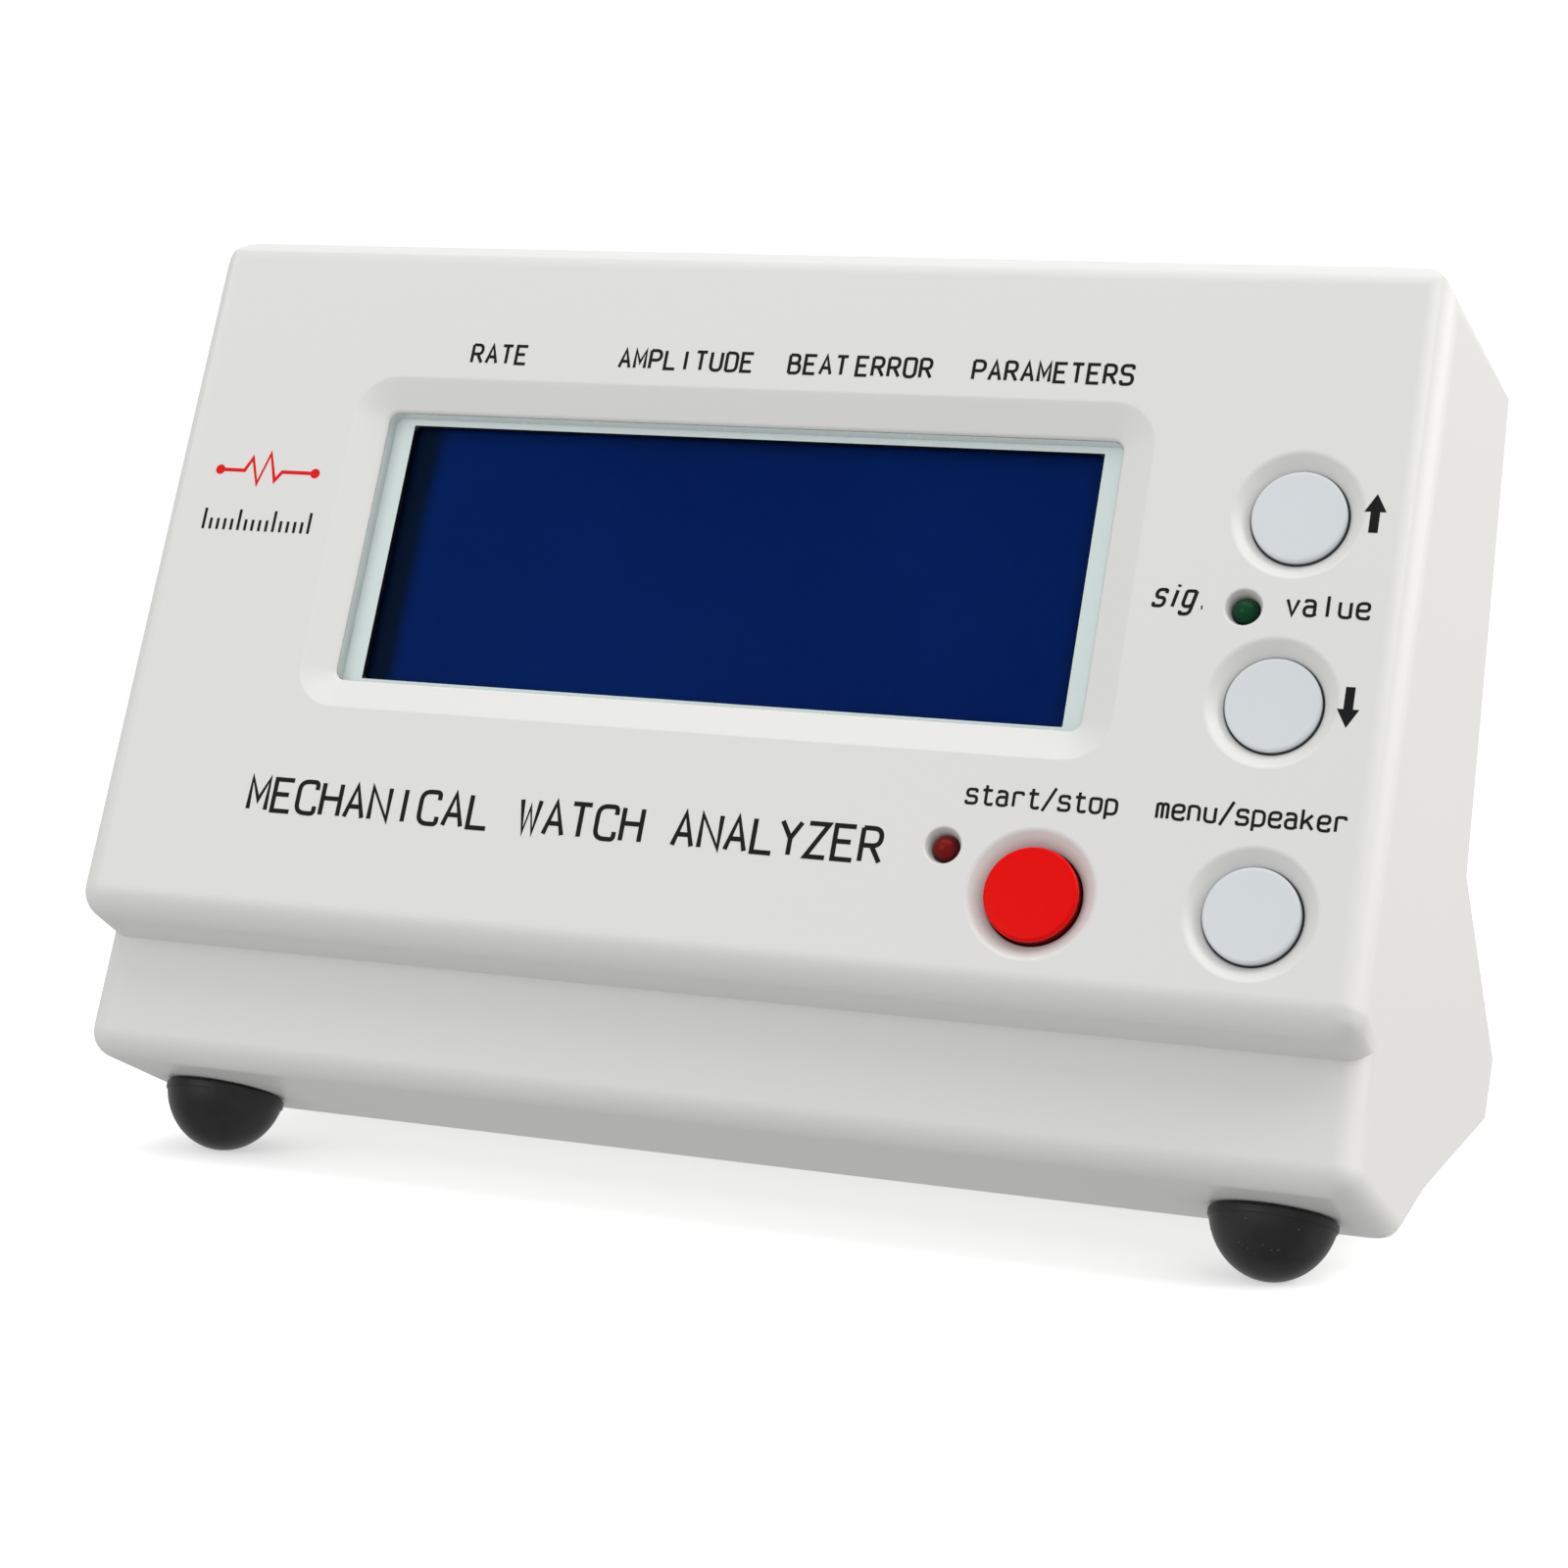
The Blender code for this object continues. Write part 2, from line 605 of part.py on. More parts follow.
def foot(name, place):
    """Rubber dome foot in a frame whose z points down its axis, cut flat where it meets the table."""
    profile = [(0.0, 0.0), (FOOT_RADIUS, 0.0), (FOOT_RADIUS, FOOT_RIM)]
    start = math.asin((FOOT_RIM + FOOT_DOME_MIDDLE) / FOOT_DOME_HEIGHT)
    steps = 6
    for step in range(steps):
        angle = start + (math.pi / 2 - start) * step / steps
        height = FOOT_DOME_HEIGHT * math.sin(angle) - FOOT_DOME_MIDDLE
        profile.append((FOOT_DOME_RADIUS * math.cos(angle), height))
    profile.append((0.0, FOOT_DOME_HEIGHT - FOOT_DOME_MIDDLE))
    mesh = bmesh.new()
    turned(mesh, profile, 20)
    back = place.inverted()
    everything = mesh.verts[:] + mesh.edges[:] + mesh.faces[:]
    down = back.to_3x3() @ Vector((0.0, 0.0, -1.0))
    table = back @ Vector((0.0, 0.0, 0.0))
    bmesh.ops.bisect_plane(mesh, geom=everything, plane_co=table, plane_no=down, clear_outer=True)
    bmesh.ops.holes_fill(mesh, edges=mesh.edges[:])
    finish(name, mesh, "black_rubber", place, smooth=True)


def feet():
    """Two feet square to the lip in front, and two upright ones under the base."""
    for side, hand in ((-1, "left"), (1, "right")):
        front = PANEL @ Matrix.Translation((BODY_X + side * FOOT_X, LIP_U - GAP, FRONT_FOOT_N))
        foot(f"front_{hand}_foot", front @ Matrix.Rotation(math.pi / 2, 4, "X"))
        rear = Matrix.Translation((side * FOOT_X, WINDOW_Y + REAR_FOOT_Y, REAR_FOOT_HEIGHT))
        foot(f"rear_{hand}_foot", rear @ Matrix.Rotation(math.pi, 4, "X"))


# ---------------------------------------------------------------------------------------------------
# display

def slab(name, size, front, back, finish_name, radius=0.0):
    """Rectangular sheet centred on the window."""
    outline = rounded_rectangle(size, radius) if radius else [
        (-size[0] / 2, -size[1] / 2), (size[0] / 2, -size[1] / 2),
        (size[0] / 2, size[1] / 2), (-size[0] / 2, size[1] / 2),
    ]
    mesh = bmesh.new()
    plate(mesh, outline, back, front)
    return finish(name, mesh, finish_name, PANEL)


def framed(name, rings, finish_name):
    """Hollow rectangular frame from (size, height) rings that close on themselves."""
    mesh = bmesh.new()
    loops = []
    for size, height in rings:
        outline = rounded_rectangle(size, 1.0)
        loops.append([mesh.verts.new((x, y, height)) for x, y in outline])
    loft(mesh, loops, closed=True)
    finish(name, mesh, finish_name, PANEL)


def drilled(item, centres, radius, place, low, high):
    """Drill a row of round holes through a board."""
    holes = bmesh.new()
    for centre in centres:
        rod(holes, radius, low, high, 8, centre)
    combine(item, "DIFFERENCE", holes, place)


def display():
    """Window, gasket, and the display module with its bezel, glass, light guide and board."""
    slab("display_window", WINDOW_SIZE, WINDOW_FRONT, WINDOW_BACK, "clear_acrylic", 1.2)
    gasket_front = -WALL - GAP
    framed("display_gasket", [
        (GASKET_OUTER, gasket_front), (GASKET_INNER, gasket_front),
        (GASKET_INNER, WINDOW_BACK), (GASKET_OUTER, WINDOW_BACK),
    ], "black_foam")
    sheet = 0.8
    cavity = (BEZEL_SIZE[0] - 2 * sheet, BEZEL_SIZE[1] - 2 * sheet)
    bezel_back = BEZEL_FRONT - BEZEL_DEPTH
    framed("display_bezel", [
        (BEZEL_SIZE, bezel_back), (BEZEL_SIZE, BEZEL_FRONT), (VIEW_SIZE, BEZEL_FRONT),
        (VIEW_SIZE, BEZEL_FRONT - sheet), (cavity, BEZEL_FRONT - sheet), (cavity, bezel_back),
    ], "black_steel")
    glass_front = BEZEL_FRONT - sheet - GAP
    glass_back = glass_front - GLASS_THICKNESS
    slab("display_glass", GLASS_SIZE, glass_front, glass_back, "display_glass")
    light_front = glass_back - GAP
    slab("display_backlight", GLASS_SIZE, light_front, light_front - BACKLIGHT_THICKNESS, "light_guide")
    board = slab("display_board", DISPLAY_BOARD_SIZE, BOARD_FRONT, BOARD_BACK, "green_board")
    drilled(board, DISPLAY_PILLARS, PILOT_RADIUS, PANEL, BOARD_BACK - GAP, BOARD_FRONT + GAP)


# ---------------------------------------------------------------------------------------------------
# controls

def button(name, centre, colour):
    """Push button: a hollow cap with a collar behind the panel, its plunger and its switch."""
    x, y, rise = centre
    place = PANEL @ Matrix.Translation((x, y, 0.0))
    collar_front = -WALL - GAP
    collar_back = collar_front - CAP_FLANGE_THICKNESS
    cap = bmesh.new()
    wall, roof = CAP_RADIUS - CAP_THICKNESS, rise - CAP_THICKNESS
    turned(cap, [
        (0.0, rise), (CAP_RADIUS - CAP_CHAMFER, rise), (CAP_RADIUS, rise - CAP_CHAMFER),
        (CAP_RADIUS, collar_front), (CAP_FLANGE_RADIUS, collar_front), (CAP_FLANGE_RADIUS, collar_back),
        (wall, collar_back), (wall, roof), (CAP_POST_RADIUS, roof), (CAP_POST_RADIUS, collar_back),
        (0.0, collar_back),
    ], 24)
    finish(f"{name}_cap", cap, colour, place, smooth=True)

    switch_top = BOARD_FRONT + GAP + SWITCH_HEIGHT
    plunger = bmesh.new()
    rod(plunger, PLUNGER_RADIUS, switch_top - PLUNGER_ENTRY, collar_back - GAP, 12)
    finish(f"{name}_plunger", plunger, "black_plastic", place, smooth=True)

    half = SWITCH_SIDE / 2
    body = bmesh.new()
    box(body, (-half, -half, BOARD_FRONT + GAP), (half, half, switch_top))
    switch = finish(f"{name}_switch", body, "black_plastic", place)
    well = bmesh.new()
    well_floor = switch_top - PLUNGER_ENTRY - BUTTON_TRAVEL_ROOM
    rod(well, PLUNGER_RADIUS + GAP, well_floor, switch_top + GAP, 12)
    combine(switch, "DIFFERENCE", well, place)


def lamps():
    """Two round-topped signal lamps that stand in their holes, each with a rim at its foot."""
    base = LAMP_TOP - LAMP_HEIGHT
    rim = base + LAMP_RIM_THICKNESS
    dome = [(0.0, LAMP_TOP)]
    steps = 4
    for step in range(1, steps + 1):
        angle = math.pi / 2 * step / steps
        dome.append((LAMP_RADIUS * math.sin(angle), LAMP_TOP - LAMP_RADIUS * (1 - math.cos(angle))))
    for name, centre in LAMPS.items():
        mesh = bmesh.new()
        sides = [(LAMP_RADIUS, rim), (LAMP_RIM_RADIUS, rim), (LAMP_RIM_RADIUS, base), (0.0, base)]
        turned(mesh, dome + sides, 12)
        finish_name = "green_lens" if name == "signal_lamp" else "red_lens"
        finish(name, mesh, finish_name, PANEL @ Matrix.Translation((*centre, 0.0)), smooth=True)


def controls():
    """The four buttons, the two lamps and the board that they stand on."""
    for name, centre in BUTTONS.items():
        button(name, centre, "red_button" if name == "start_stop_button" else "white_button")
    lamps()
    mesh = bmesh.new()
    plate(mesh, BUTTON_BOARD_OUTLINE, BOARD_BACK, BOARD_FRONT)
    board = finish("button_board", mesh, "green_board", PANEL)
    drilled(board, BUTTON_PILLARS, PILOT_RADIUS, PANEL, BOARD_BACK - GAP, BOARD_FRONT + GAP)


# ---------------------------------------------------------------------------------------------------
# main board and what it carries

def on_main_board(name, centre, size, finish_name):
    """Block standing on the inner face of the main board."""
    mesh = bmesh.new()
    top = MAIN_BOARD_FRONT - GAP
    low = (centre[0] - size[0] / 2, centre[1] - size[1] / 2, top - size[2])
    box(mesh, low, (centre[0] + size[0] / 2, centre[1] + size[1] / 2, top))
    return finish(name, mesh, finish_name, REAR_WALL)


def sockets():
    """Power socket and pickup socket, which look out through the rear cover."""
    board = MAIN_BOARD_BACK + GAP
    shoulder = -WALL - GAP
    bore, depth = POWER_BORE
    power = bmesh.new()
    turned(power, [
        (0.0, board), (POWER_SHOULDER_RADIUS, board), (POWER_SHOULDER_RADIUS, shoulder),
        (POWER_SNOUT_RADIUS, shoulder), (POWER_SNOUT_RADIUS, SOCKET_STAND_OUT), (bore, SOCKET_STAND_OUT),
        (bore, -depth), (0.0, -depth),
    ], 16)
    power_place = REAR_WALL @ Matrix.Translation((*POWER_SOCKET, 0.0))
    finish("power_socket", power, "black_plastic", power_place, smooth=True)
    pin = bmesh.new()
    rod(pin, 1.0, GAP - depth, -0.6, 10)
    finish("power_socket_pin", pin, "bright_steel", power_place, smooth=True)

    bore, depth = PICKUP_BORE
    shell = bmesh.new()
    turned(shell, [
        (0.0, board), (PICKUP_SHOULDER_RADIUS, board), (PICKUP_SHOULDER_RADIUS, shoulder),
        (PICKUP_SHELL_RADIUS, shoulder), (PICKUP_SHELL_RADIUS, SOCKET_STAND_OUT), (bore, SOCKET_STAND_OUT),
        (bore, -depth), (0.0, -depth),
    ], 20)
    pickup_place = REAR_WALL @ Matrix.Translation((*PICKUP_SOCKET, 0.0))
    finish("pickup_socket", shell, "bright_steel", pickup_place, smooth=True)
    core = bmesh.new()
    rod(core, 3.9, GAP - depth, -0.6, 16)
    insert = finish("pickup_socket_insert", core, "black_plastic", pickup_place, smooth=True)
    contacts = [(1.7 * math.cos(a), 1.7 * math.sin(a)) for a in (math.radians(d) for d in (45, 135, 225, 315))]
    drilled(insert, contacts, 0.5, pickup_place, -5.0, 0.0)


def main_board():
    """Main board with its chips, timing crystal, regulator and capacitors."""
    half_x, half_y = MAIN_BOARD_SIZE[0] / 2, MAIN_BOARD_SIZE[1] / 2
    mesh = bmesh.new()
    box(mesh, (-half_x, -half_y, MAIN_BOARD_FRONT), (half_x, half_y, MAIN_BOARD_BACK))
    board = finish("main_board", mesh, "green_board", REAR_WALL)
    drilled(board, MAIN_PILLARS, PILOT_RADIUS, REAR_WALL, MAIN_BOARD_FRONT - GAP, MAIN_BOARD_BACK + GAP)
    for name, (centre, size, finish_name) in BOARD_BLOCKS.items():
        on_main_board(name, centre, size, finish_name)
    radius, height, chamfer = CAPACITOR_SIZE
    top = MAIN_BOARD_FRONT - GAP
    end = top - height
    for index, centre in enumerate(CAPACITORS):
        can = bmesh.new()
        rim = [(radius, end + chamfer), (radius - chamfer, end)]
        turned(can, [(0.0, top), (radius, top), *rim, (0.0, end)], 14)
        place = REAR_WALL @ Matrix.Translation((*centre, 0.0))
        finish(f"filter_capacitor_{index + 1}", can, "capacitor_sleeve", place, smooth=True)


def strip(name, path, width, thickness):
    """Flat cable along (x, u, n) points of the panel frame; its width lies across the case."""
    mesh = bmesh.new()
    rings = []
    points = [Vector(point) for point in path]
    for index, point in enumerate(points):
        along = points[min(index + 1, len(points) - 1)] - points[max(index - 1, 0)]
        flat = Vector((0.0, along.z, -along.y)).normalized() * thickness / 2
        side = Vector((width / 2, 0.0, 0.0))
        corners = (point + side + flat, point - side + flat, point - side - flat, point + side - flat)
        rings.append([mesh.verts.new(corner) for corner in corners])
    loft(mesh, rings)
    finish(name, mesh, "grey_ribbon", PANEL)


def smooth_path(start, start_pull, end, end_pull, steps=8):
    """Points of a cubic curve that leaves its start and reaches its end along the given pulls."""
    points = []
    for step in range(steps + 1):
        t = step / steps
        weights = ((1 - t) ** 3, 3 * t * (1 - t) ** 2, 3 * t ** 2 * (1 - t), t ** 3)
        handles = (start, start + start_pull, end + end_pull, end)
        points.append(sum((handle * weight for handle, weight in zip(handles, weights)), Vector((0, 0, 0))))
    return points


def cables():
    """Ribbons from the display and the buttons to the main board, the speaker's lead, and their plugs."""
    to_panel = PANEL.inverted() @ REAR_WALL
    straight = Vector((0.0, 0.0, -RIBBON_PULL))
    for name, (x, y), target, width in CABLES:
        mesh = bmesh.new()
        back = BOARD_BACK - GAP
        low = (x - width / 2, y - PLUG_DEPTH / 2, back - PLUG_HEIGHT)
        box(mesh, low, (x + width / 2, y + PLUG_DEPTH / 2, back))
        finish(f"{name}_plug", mesh, "black_plastic", PANEL)
        on_main_board(f"{name}_main_plug", target, (width, PLUG_DEPTH, PLUG_HEIGHT), "black_plastic")
        leave = Vector((x, y, back - PLUG_HEIGHT - GAP))
        arrive = to_panel @ Vector((*target, MAIN_BOARD_FRONT - 2 * GAP - PLUG_HEIGHT))
        path = smooth_path(leave, straight, arrive, to_panel.to_3x3() @ straight)
        strip(f"{name}_ribbon", path, width - 1.0, RIBBON_THICKNESS)

    speaker_tag = PANEL.inverted() @ SPEAKER @ Vector((0.0, -SPEAKER_RADIUS * 0.4, -SPEAKER_BACK - 1.0))
    board_edge = to_panel @ Vector((-SPEAKER_X, -MAIN_BOARD_SIZE[1] / 2 + 4.0, MAIN_BOARD_FRONT - 1.0))
    pull = to_panel.to_3x3() @ Vector((0.0, -12.0, -9.0))
    up_pull = PANEL.inverted().to_3x3() @ SPEAKER.to_3x3() @ Vector((0.0, 0.0, -10.0))
    strip("speaker_lead", smooth_path(speaker_tag, up_pull, board_edge, pull), 2.4, 1.2)


def speaker():
    """Small speaker over the slots in the underside: basket, cone and magnet."""
    face = -WALL - GAP
    rim = SPEAKER_RADIUS
    basket = bmesh.new()
    turned_ring(basket, [
        (rim, face), (rim, face - 1.5), (12.0, face - 7.7), (7.0, face - 7.7),
        (7.0, face - 6.5), (11.4, face - 6.5), (rim - 2.5, face - 2.0), (rim - 2.5, face),
    ], 20)
    finish("speaker_basket", basket, "bright_steel", SPEAKER, smooth=True)
    cone = bmesh.new()
    turned(cone, [
        (0.0, face - 5.0), (4.0, face - 5.0), (rim - 3.2, face - 1.0), (rim - 3.2, face - 0.5),
        (4.0, face - 4.2), (0.0, face - 4.2),
    ], 20)
    finish("speaker_cone", cone, "paper_cone", SPEAKER, smooth=True)
    magnet = bmesh.new()
    rod(magnet, 9.5, -SPEAKER_BACK, face - 7.7 - GAP, 20)
    finish("speaker_magnet", magnet, "ferrite", SPEAKER, smooth=True)


# ---------------------------------------------------------------------------------------------------
# screws

def cover_screws():
    """Pan-head screws that hold the rear cover to the front housing."""
    shank = SCREW_HOLE_RADIUS - GAP
    bevel = 0.9
    for row, (low, high, along) in zip(("upper", "middle", "lower"), COVER_SCREWS):
        for side, hand in ((-1, "left"), (1, "right")):
            mesh = bmesh.new()
            turned(mesh, [
                (0.0, SCREW_HEAD_HEIGHT), (SCREW_HEAD_RADIUS - bevel, SCREW_HEAD_HEIGHT),
                (SCREW_HEAD_RADIUS, SCREW_HEAD_HEIGHT - bevel), (SCREW_HEAD_RADIUS, GAP), (shank, GAP),
                (shank, -SCREW_LENGTH), (0.0, -SCREW_LENGTH),
            ], 12)
            place = wall_frame(low, high, along, side * COVER_SCREW_X)
            finish(f"{row}_{hand}_screw", mesh, "bright_steel", place, smooth=True)


# ---------------------------------------------------------------------------------------------------

REAR_WALL = wall_frame("waist", "top_rear", MAIN_BOARD_RISE)
SPEAKER = wall_frame("lip_rear_top", "base_bottom", SPEAKER_ALONG, SPEAKER_X)


def main():
    """Build the whole instrument in an empty scene."""
    for item in list(bpy.data.objects):
        bpy.data.objects.remove(item)
    front_housing()
    rear_cover()
    feet()
    display()
    controls()
    main_board()
    sockets()
    speaker()
    cables()
    cover_screws()


main()
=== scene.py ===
import json
import math

import bmesh
import bpy
from mathutils import Matrix, Vector


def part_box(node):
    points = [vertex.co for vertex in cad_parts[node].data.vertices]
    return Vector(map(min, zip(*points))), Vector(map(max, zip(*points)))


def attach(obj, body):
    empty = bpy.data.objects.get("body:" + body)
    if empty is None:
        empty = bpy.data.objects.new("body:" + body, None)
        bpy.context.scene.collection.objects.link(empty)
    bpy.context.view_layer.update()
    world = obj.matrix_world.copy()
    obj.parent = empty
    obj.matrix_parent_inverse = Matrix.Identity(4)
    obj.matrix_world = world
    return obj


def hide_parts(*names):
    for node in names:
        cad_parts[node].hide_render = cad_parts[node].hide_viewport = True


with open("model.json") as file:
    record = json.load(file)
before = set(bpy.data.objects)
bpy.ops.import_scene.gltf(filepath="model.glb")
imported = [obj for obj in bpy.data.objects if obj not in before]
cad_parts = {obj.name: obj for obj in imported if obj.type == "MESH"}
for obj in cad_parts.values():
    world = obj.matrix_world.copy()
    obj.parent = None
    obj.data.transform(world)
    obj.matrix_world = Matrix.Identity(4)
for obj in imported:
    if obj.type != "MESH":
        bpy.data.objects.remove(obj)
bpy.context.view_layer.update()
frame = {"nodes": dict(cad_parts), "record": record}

MM = 0.001
GAP = 0.3                      # air between the CAD pieces
UNTURNED = Matrix.Identity(4)
WHITE = (1.0, 1.0, 1.0)

# case, lengths in millimetres; the panel frame has x to the right, u up the panel and n out of it
LEAN = math.radians(20.0)
BODY_X = 4.7                   # middle of the case, to the right of the window's middle
HALF_WIDTH = 92.6
DRAFT = 0.007
WALL = 2.5
EDGE_RADIUS = 4.0
SIDE = {                       # side view of the case, (u, n)
    "panel_top": (47.1, 0.0),
    "top_rear": (50.0, -51.7),
    "waist": (-18.2, -67.1),
    "base_top": (-34.5, -114.2),
    "base_bottom": (-44.6, -113.4),
    "lip_rear_top": (-65.6, -62.4),
    "lip_rear": (-76.3, -43.0),
    "lip_front": (-76.3, -10.4),
    "step": (-59.2, -10.4),
    "panel_bottom": (-57.8, 0.0),
}
TOP_CORNER_RADII = (7.8, 0.6)  # of the top's side edges, at the panel and at the back
ACROSS_RADII = {"panel_top": 4.0, "panel_bottom": 4.0, "lip_front": 4.0, "lip_rear": 2.4}
RUN_RADII = {
    "panel_top": 0.0, "top_rear": 0.6, "waist": 0.6, "base_top": 0.6, "base_bottom": 0.6,
    "lip_rear_top": 0.6, "lip_rear": 4.0, "lip_front": 4.0, "step": 4.0, "panel_bottom": 4.0,
}

# display, (across, up the panel)
WINDOW_SIZE = (110.0, 40.9)
WINDOW_OPENING = (110.14, 41.04)
WINDOW_RECESS = (119.2, 50.4)
WINDOW_FRONT, WINDOW_BACK = -2.4, -4.4
WINDOW_MIDDLE = (WINDOW_FRONT + WINDOW_BACK) / 2
VIEW_SIZE = (104.0, 39.0)

# controls
BUTTONS = {                    # middle of each button and the level of its cap, (x, u, n)
    "up_button": (80.4, 10.4, -0.7),
    "down_button": (80.4, -15.5, -0.9),
    "start_stop_button": (52.5, -43.6, 0.2),
    "menu_button": (81.5, -43.7, -0.5),
}
CAP_RADIUS, CAP_THICKNESS, CAP_POST_RADIUS = 6.35, 1.6, 2.5
CAP_ROUNDING, COLLAR_ROUNDING = 0.5, 0.2
COLLAR_RADIUS, COLLAR_THICKNESS = 7.4, 1.2
HOLE_RADIUS, DISH_RADIUS, DISH_DEPTH = 6.55, 8.65, 1.9
LAMPS = {"signal_lamp": (75.0, -2.8), "run_lamp": (39.7, -38.1)}
LAMP_HOLE_RADIUS, LAMP_DISH_RADIUS, LAMP_DISH_DEPTH = 1.9, 2.5, 1.9
LAMP_RADIUS, LAMP_RIM_RADIUS, LAMP_RIM_THICKNESS, LAMP_TOP, LAMP_HEIGHT = 1.82, 2.3, 0.8, -0.2, 5.8
BOARD_FRONT, BOARD_THICKNESS, PILLAR_RADIUS, PILOT_RADIUS = -11.0, 1.6, 2.7, 1.35
DISPLAY_PILLARS = [(61.8, 29.3), (61.8, -29.3), (-61.8, 29.3), (-61.8, -29.3)]
BUTTON_PILLARS = [(88.8, 19.0), (72.0, -28.0), (37.0, -49.5), (91.0, -50.6)]
PILOT_DEPTH = 7.0

# feet
FOOT_RADIUS, FOOT_RIM = 8.7, 1.2
FOOT_DOME_RADIUS, FOOT_DOME_HEIGHT, FOOT_DOME_MIDDLE, FOOT_FLAT = 8.66, 9.57, 0.83, 0.2
FOOT_X, FRONT_FOOT_N, REAR_FOOT_Y = 78.6, -30.3, 78.0
REAR_FOOT_HEIGHT = FOOT_DOME_HEIGHT - FOOT_DOME_MIDDLE - FOOT_FLAT

# rear cover
COVER_SCREWS = [                # wall that each pair goes through, and how far up it
    ("waist", "top_rear", 60.0),
    ("waist", "top_rear", 9.0),
    ("lip_rear_top", "base_bottom", 10.0),
]
COVER_SCREW_X, SCREW_HOLE_RADIUS = 84.5, 1.6
BOSS_RADIUS, BOSS_REACH, BOSS_LENGTH = 3.2, 6.2, 12.0
MAIN_BOARD_BACK = -WALL - 11.0
MAIN_BOARD_FRONT = MAIN_BOARD_BACK - BOARD_THICKNESS
MAIN_PILLARS = [(52.0, 22.0), (52.0, -22.0), (-52.0, 22.0), (-52.0, -22.0)]
POWER_SOCKET, PICKUP_SOCKET = (40.0, -12.0), (-40.0, -12.0)
POWER_HOLE_RADIUS, PICKUP_HOLE_RADIUS = 4.2, 6.3
POWER_SHOULDER_RADIUS, POWER_SNOUT_RADIUS, POWER_BORE = 5.2, 3.9, (3.1, 9.0)      # bores: radius, depth
PICKUP_SHOULDER_RADIUS, PICKUP_SHELL_RADIUS, PICKUP_BORE = 7.2, 6.0, (4.9, 8.0)
SPEAKER_RADIUS, SPEAKER_BACK = 18.0, 16.0
SLOT_REACH, SLOT_PITCH, SLOT_WIDTH = 12.5, 4.6, 2.2

# viewpoint in the panel frame
VIEW_FROM = (177.128, -148.399, 415.455)
VIEW_FORWARD = (-0.34926, 0.25381, -0.90199)
VIEW_RIGHT = (0.93415, 0.16960, -0.31399)
LENS_LENGTH, SENSOR_WIDTH = 78.998, 36.0


# ---------------------------------------------------------------------------------------------------
# frames

def frame_from(origin, across, up):
    """Matrix of a frame from its origin, x direction and y direction."""
    out = across.cross(up)
    rows = [(across[i], up[i], out[i], origin[i]) for i in range(3)]
    return Matrix((*rows, (0.0, 0.0, 0.0, 1.0)))


def panel_frame():
    """Frame of the panel's face in millimetres, found from the middle of the window."""
    low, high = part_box("display_window")
    up = Vector((0.0, math.sin(LEAN), math.cos(LEAN)))
    out = Vector((0.0, -math.cos(LEAN), math.sin(LEAN)))
    middle = (low + high) / 2 / MM
    return frame_from(middle - out * WINDOW_MIDDLE, Vector((1.0, 0.0, 0.0)), up)


PANEL = panel_frame()


def inward(start, end):
    """Unit normal of a side-view edge, pointing into the case."""
    along = (end - start).normalized()
    return Vector((along.y, -along.x))


def wall_frame(low, high, along, x=0.0):
    """Frame on the outside of a rear wall: z points out of the case, y up the wall."""
    start, end = Vector(SIDE[low]), Vector(SIDE[high])
    place = start + (end - start).normalized() * along
    turn = PANEL.to_3x3()
    up = turn @ Vector((0.0, *(end - start).normalized()))
    outward = turn @ Vector((0.0, *(-inward(end, start))))
    return frame_from(PANEL @ Vector((BODY_X + x, place.x, place.y)), up.cross(outward), up)


REAR_WALL = wall_frame("waist", "top_rear", 37.0)
SPEAKER = wall_frame("lip_rear_top", "base_bottom", 30.0, 34.0)


# ---------------------------------------------------------------------------------------------------
# mesh helpers, in millimetres of a piece's own frame

def loft(mesh, rings, closed=False):
    """Skin a row of rings, with flat ends unless the row closes on itself."""
    pairs = list(zip(rings, rings[1:])) + ([(rings[-1], rings[0])] if closed else [])
    for lower, upper in pairs:
        for i in range(len(lower)):
            j = (i + 1) % len(lower)
            mesh.faces.new((lower[i], lower[j], upper[j], upper[i]))
    if not closed:
        mesh.faces.new(rings[0])
        mesh.faces.new(rings[-1])


def plate(mesh, outline, low, high):
    """Add a flat plate with the given outline."""
    loft(mesh, [[mesh.verts.new((x, y, z)) for x, y in outline] for z in (low, high)])


def circle(radius, centre, segments):
    """Points round a circle, anticlockwise."""
    angles = [math.tau * step / segments for step in range(segments)]
    return [(centre[0] + radius * math.cos(a), centre[1] + radius * math.sin(a)) for a in angles]


def turned(mesh, profile, segments=64, centre=(0.0, 0.0), place=UNTURNED):
    """Add a turned solid from (radius, height) points; a zero radius closes an end."""
    rings = []
    for radius, height in profile:
        count = 1 if radius == 0.0 else segments
        points = circle(radius, centre, segments)[:count]
        rings.append([mesh.verts.new(place @ Vector((x, y, height))) for x, y in points])
    for lower, upper in zip(rings, rings[1:]):
        for i in range(segments):
            j = (i + 1) % segments
            below, above = len(lower), len(upper)
            corners = [lower[i % below], lower[j % below], upper[j % above], upper[i % above]]
            mesh.faces.new(list(dict.fromkeys(corners)))
    for ring in (rings[0], rings[-1]):
        if len(ring) > 1:
            mesh.faces.new(ring)


def rod(mesh, radius, low, high, centre=(0.0, 0.0), place=UNTURNED, segments=32):
    """Add a plain cylinder."""
    turned(mesh, [(radius, low), (radius, high)], segments, centre, place)


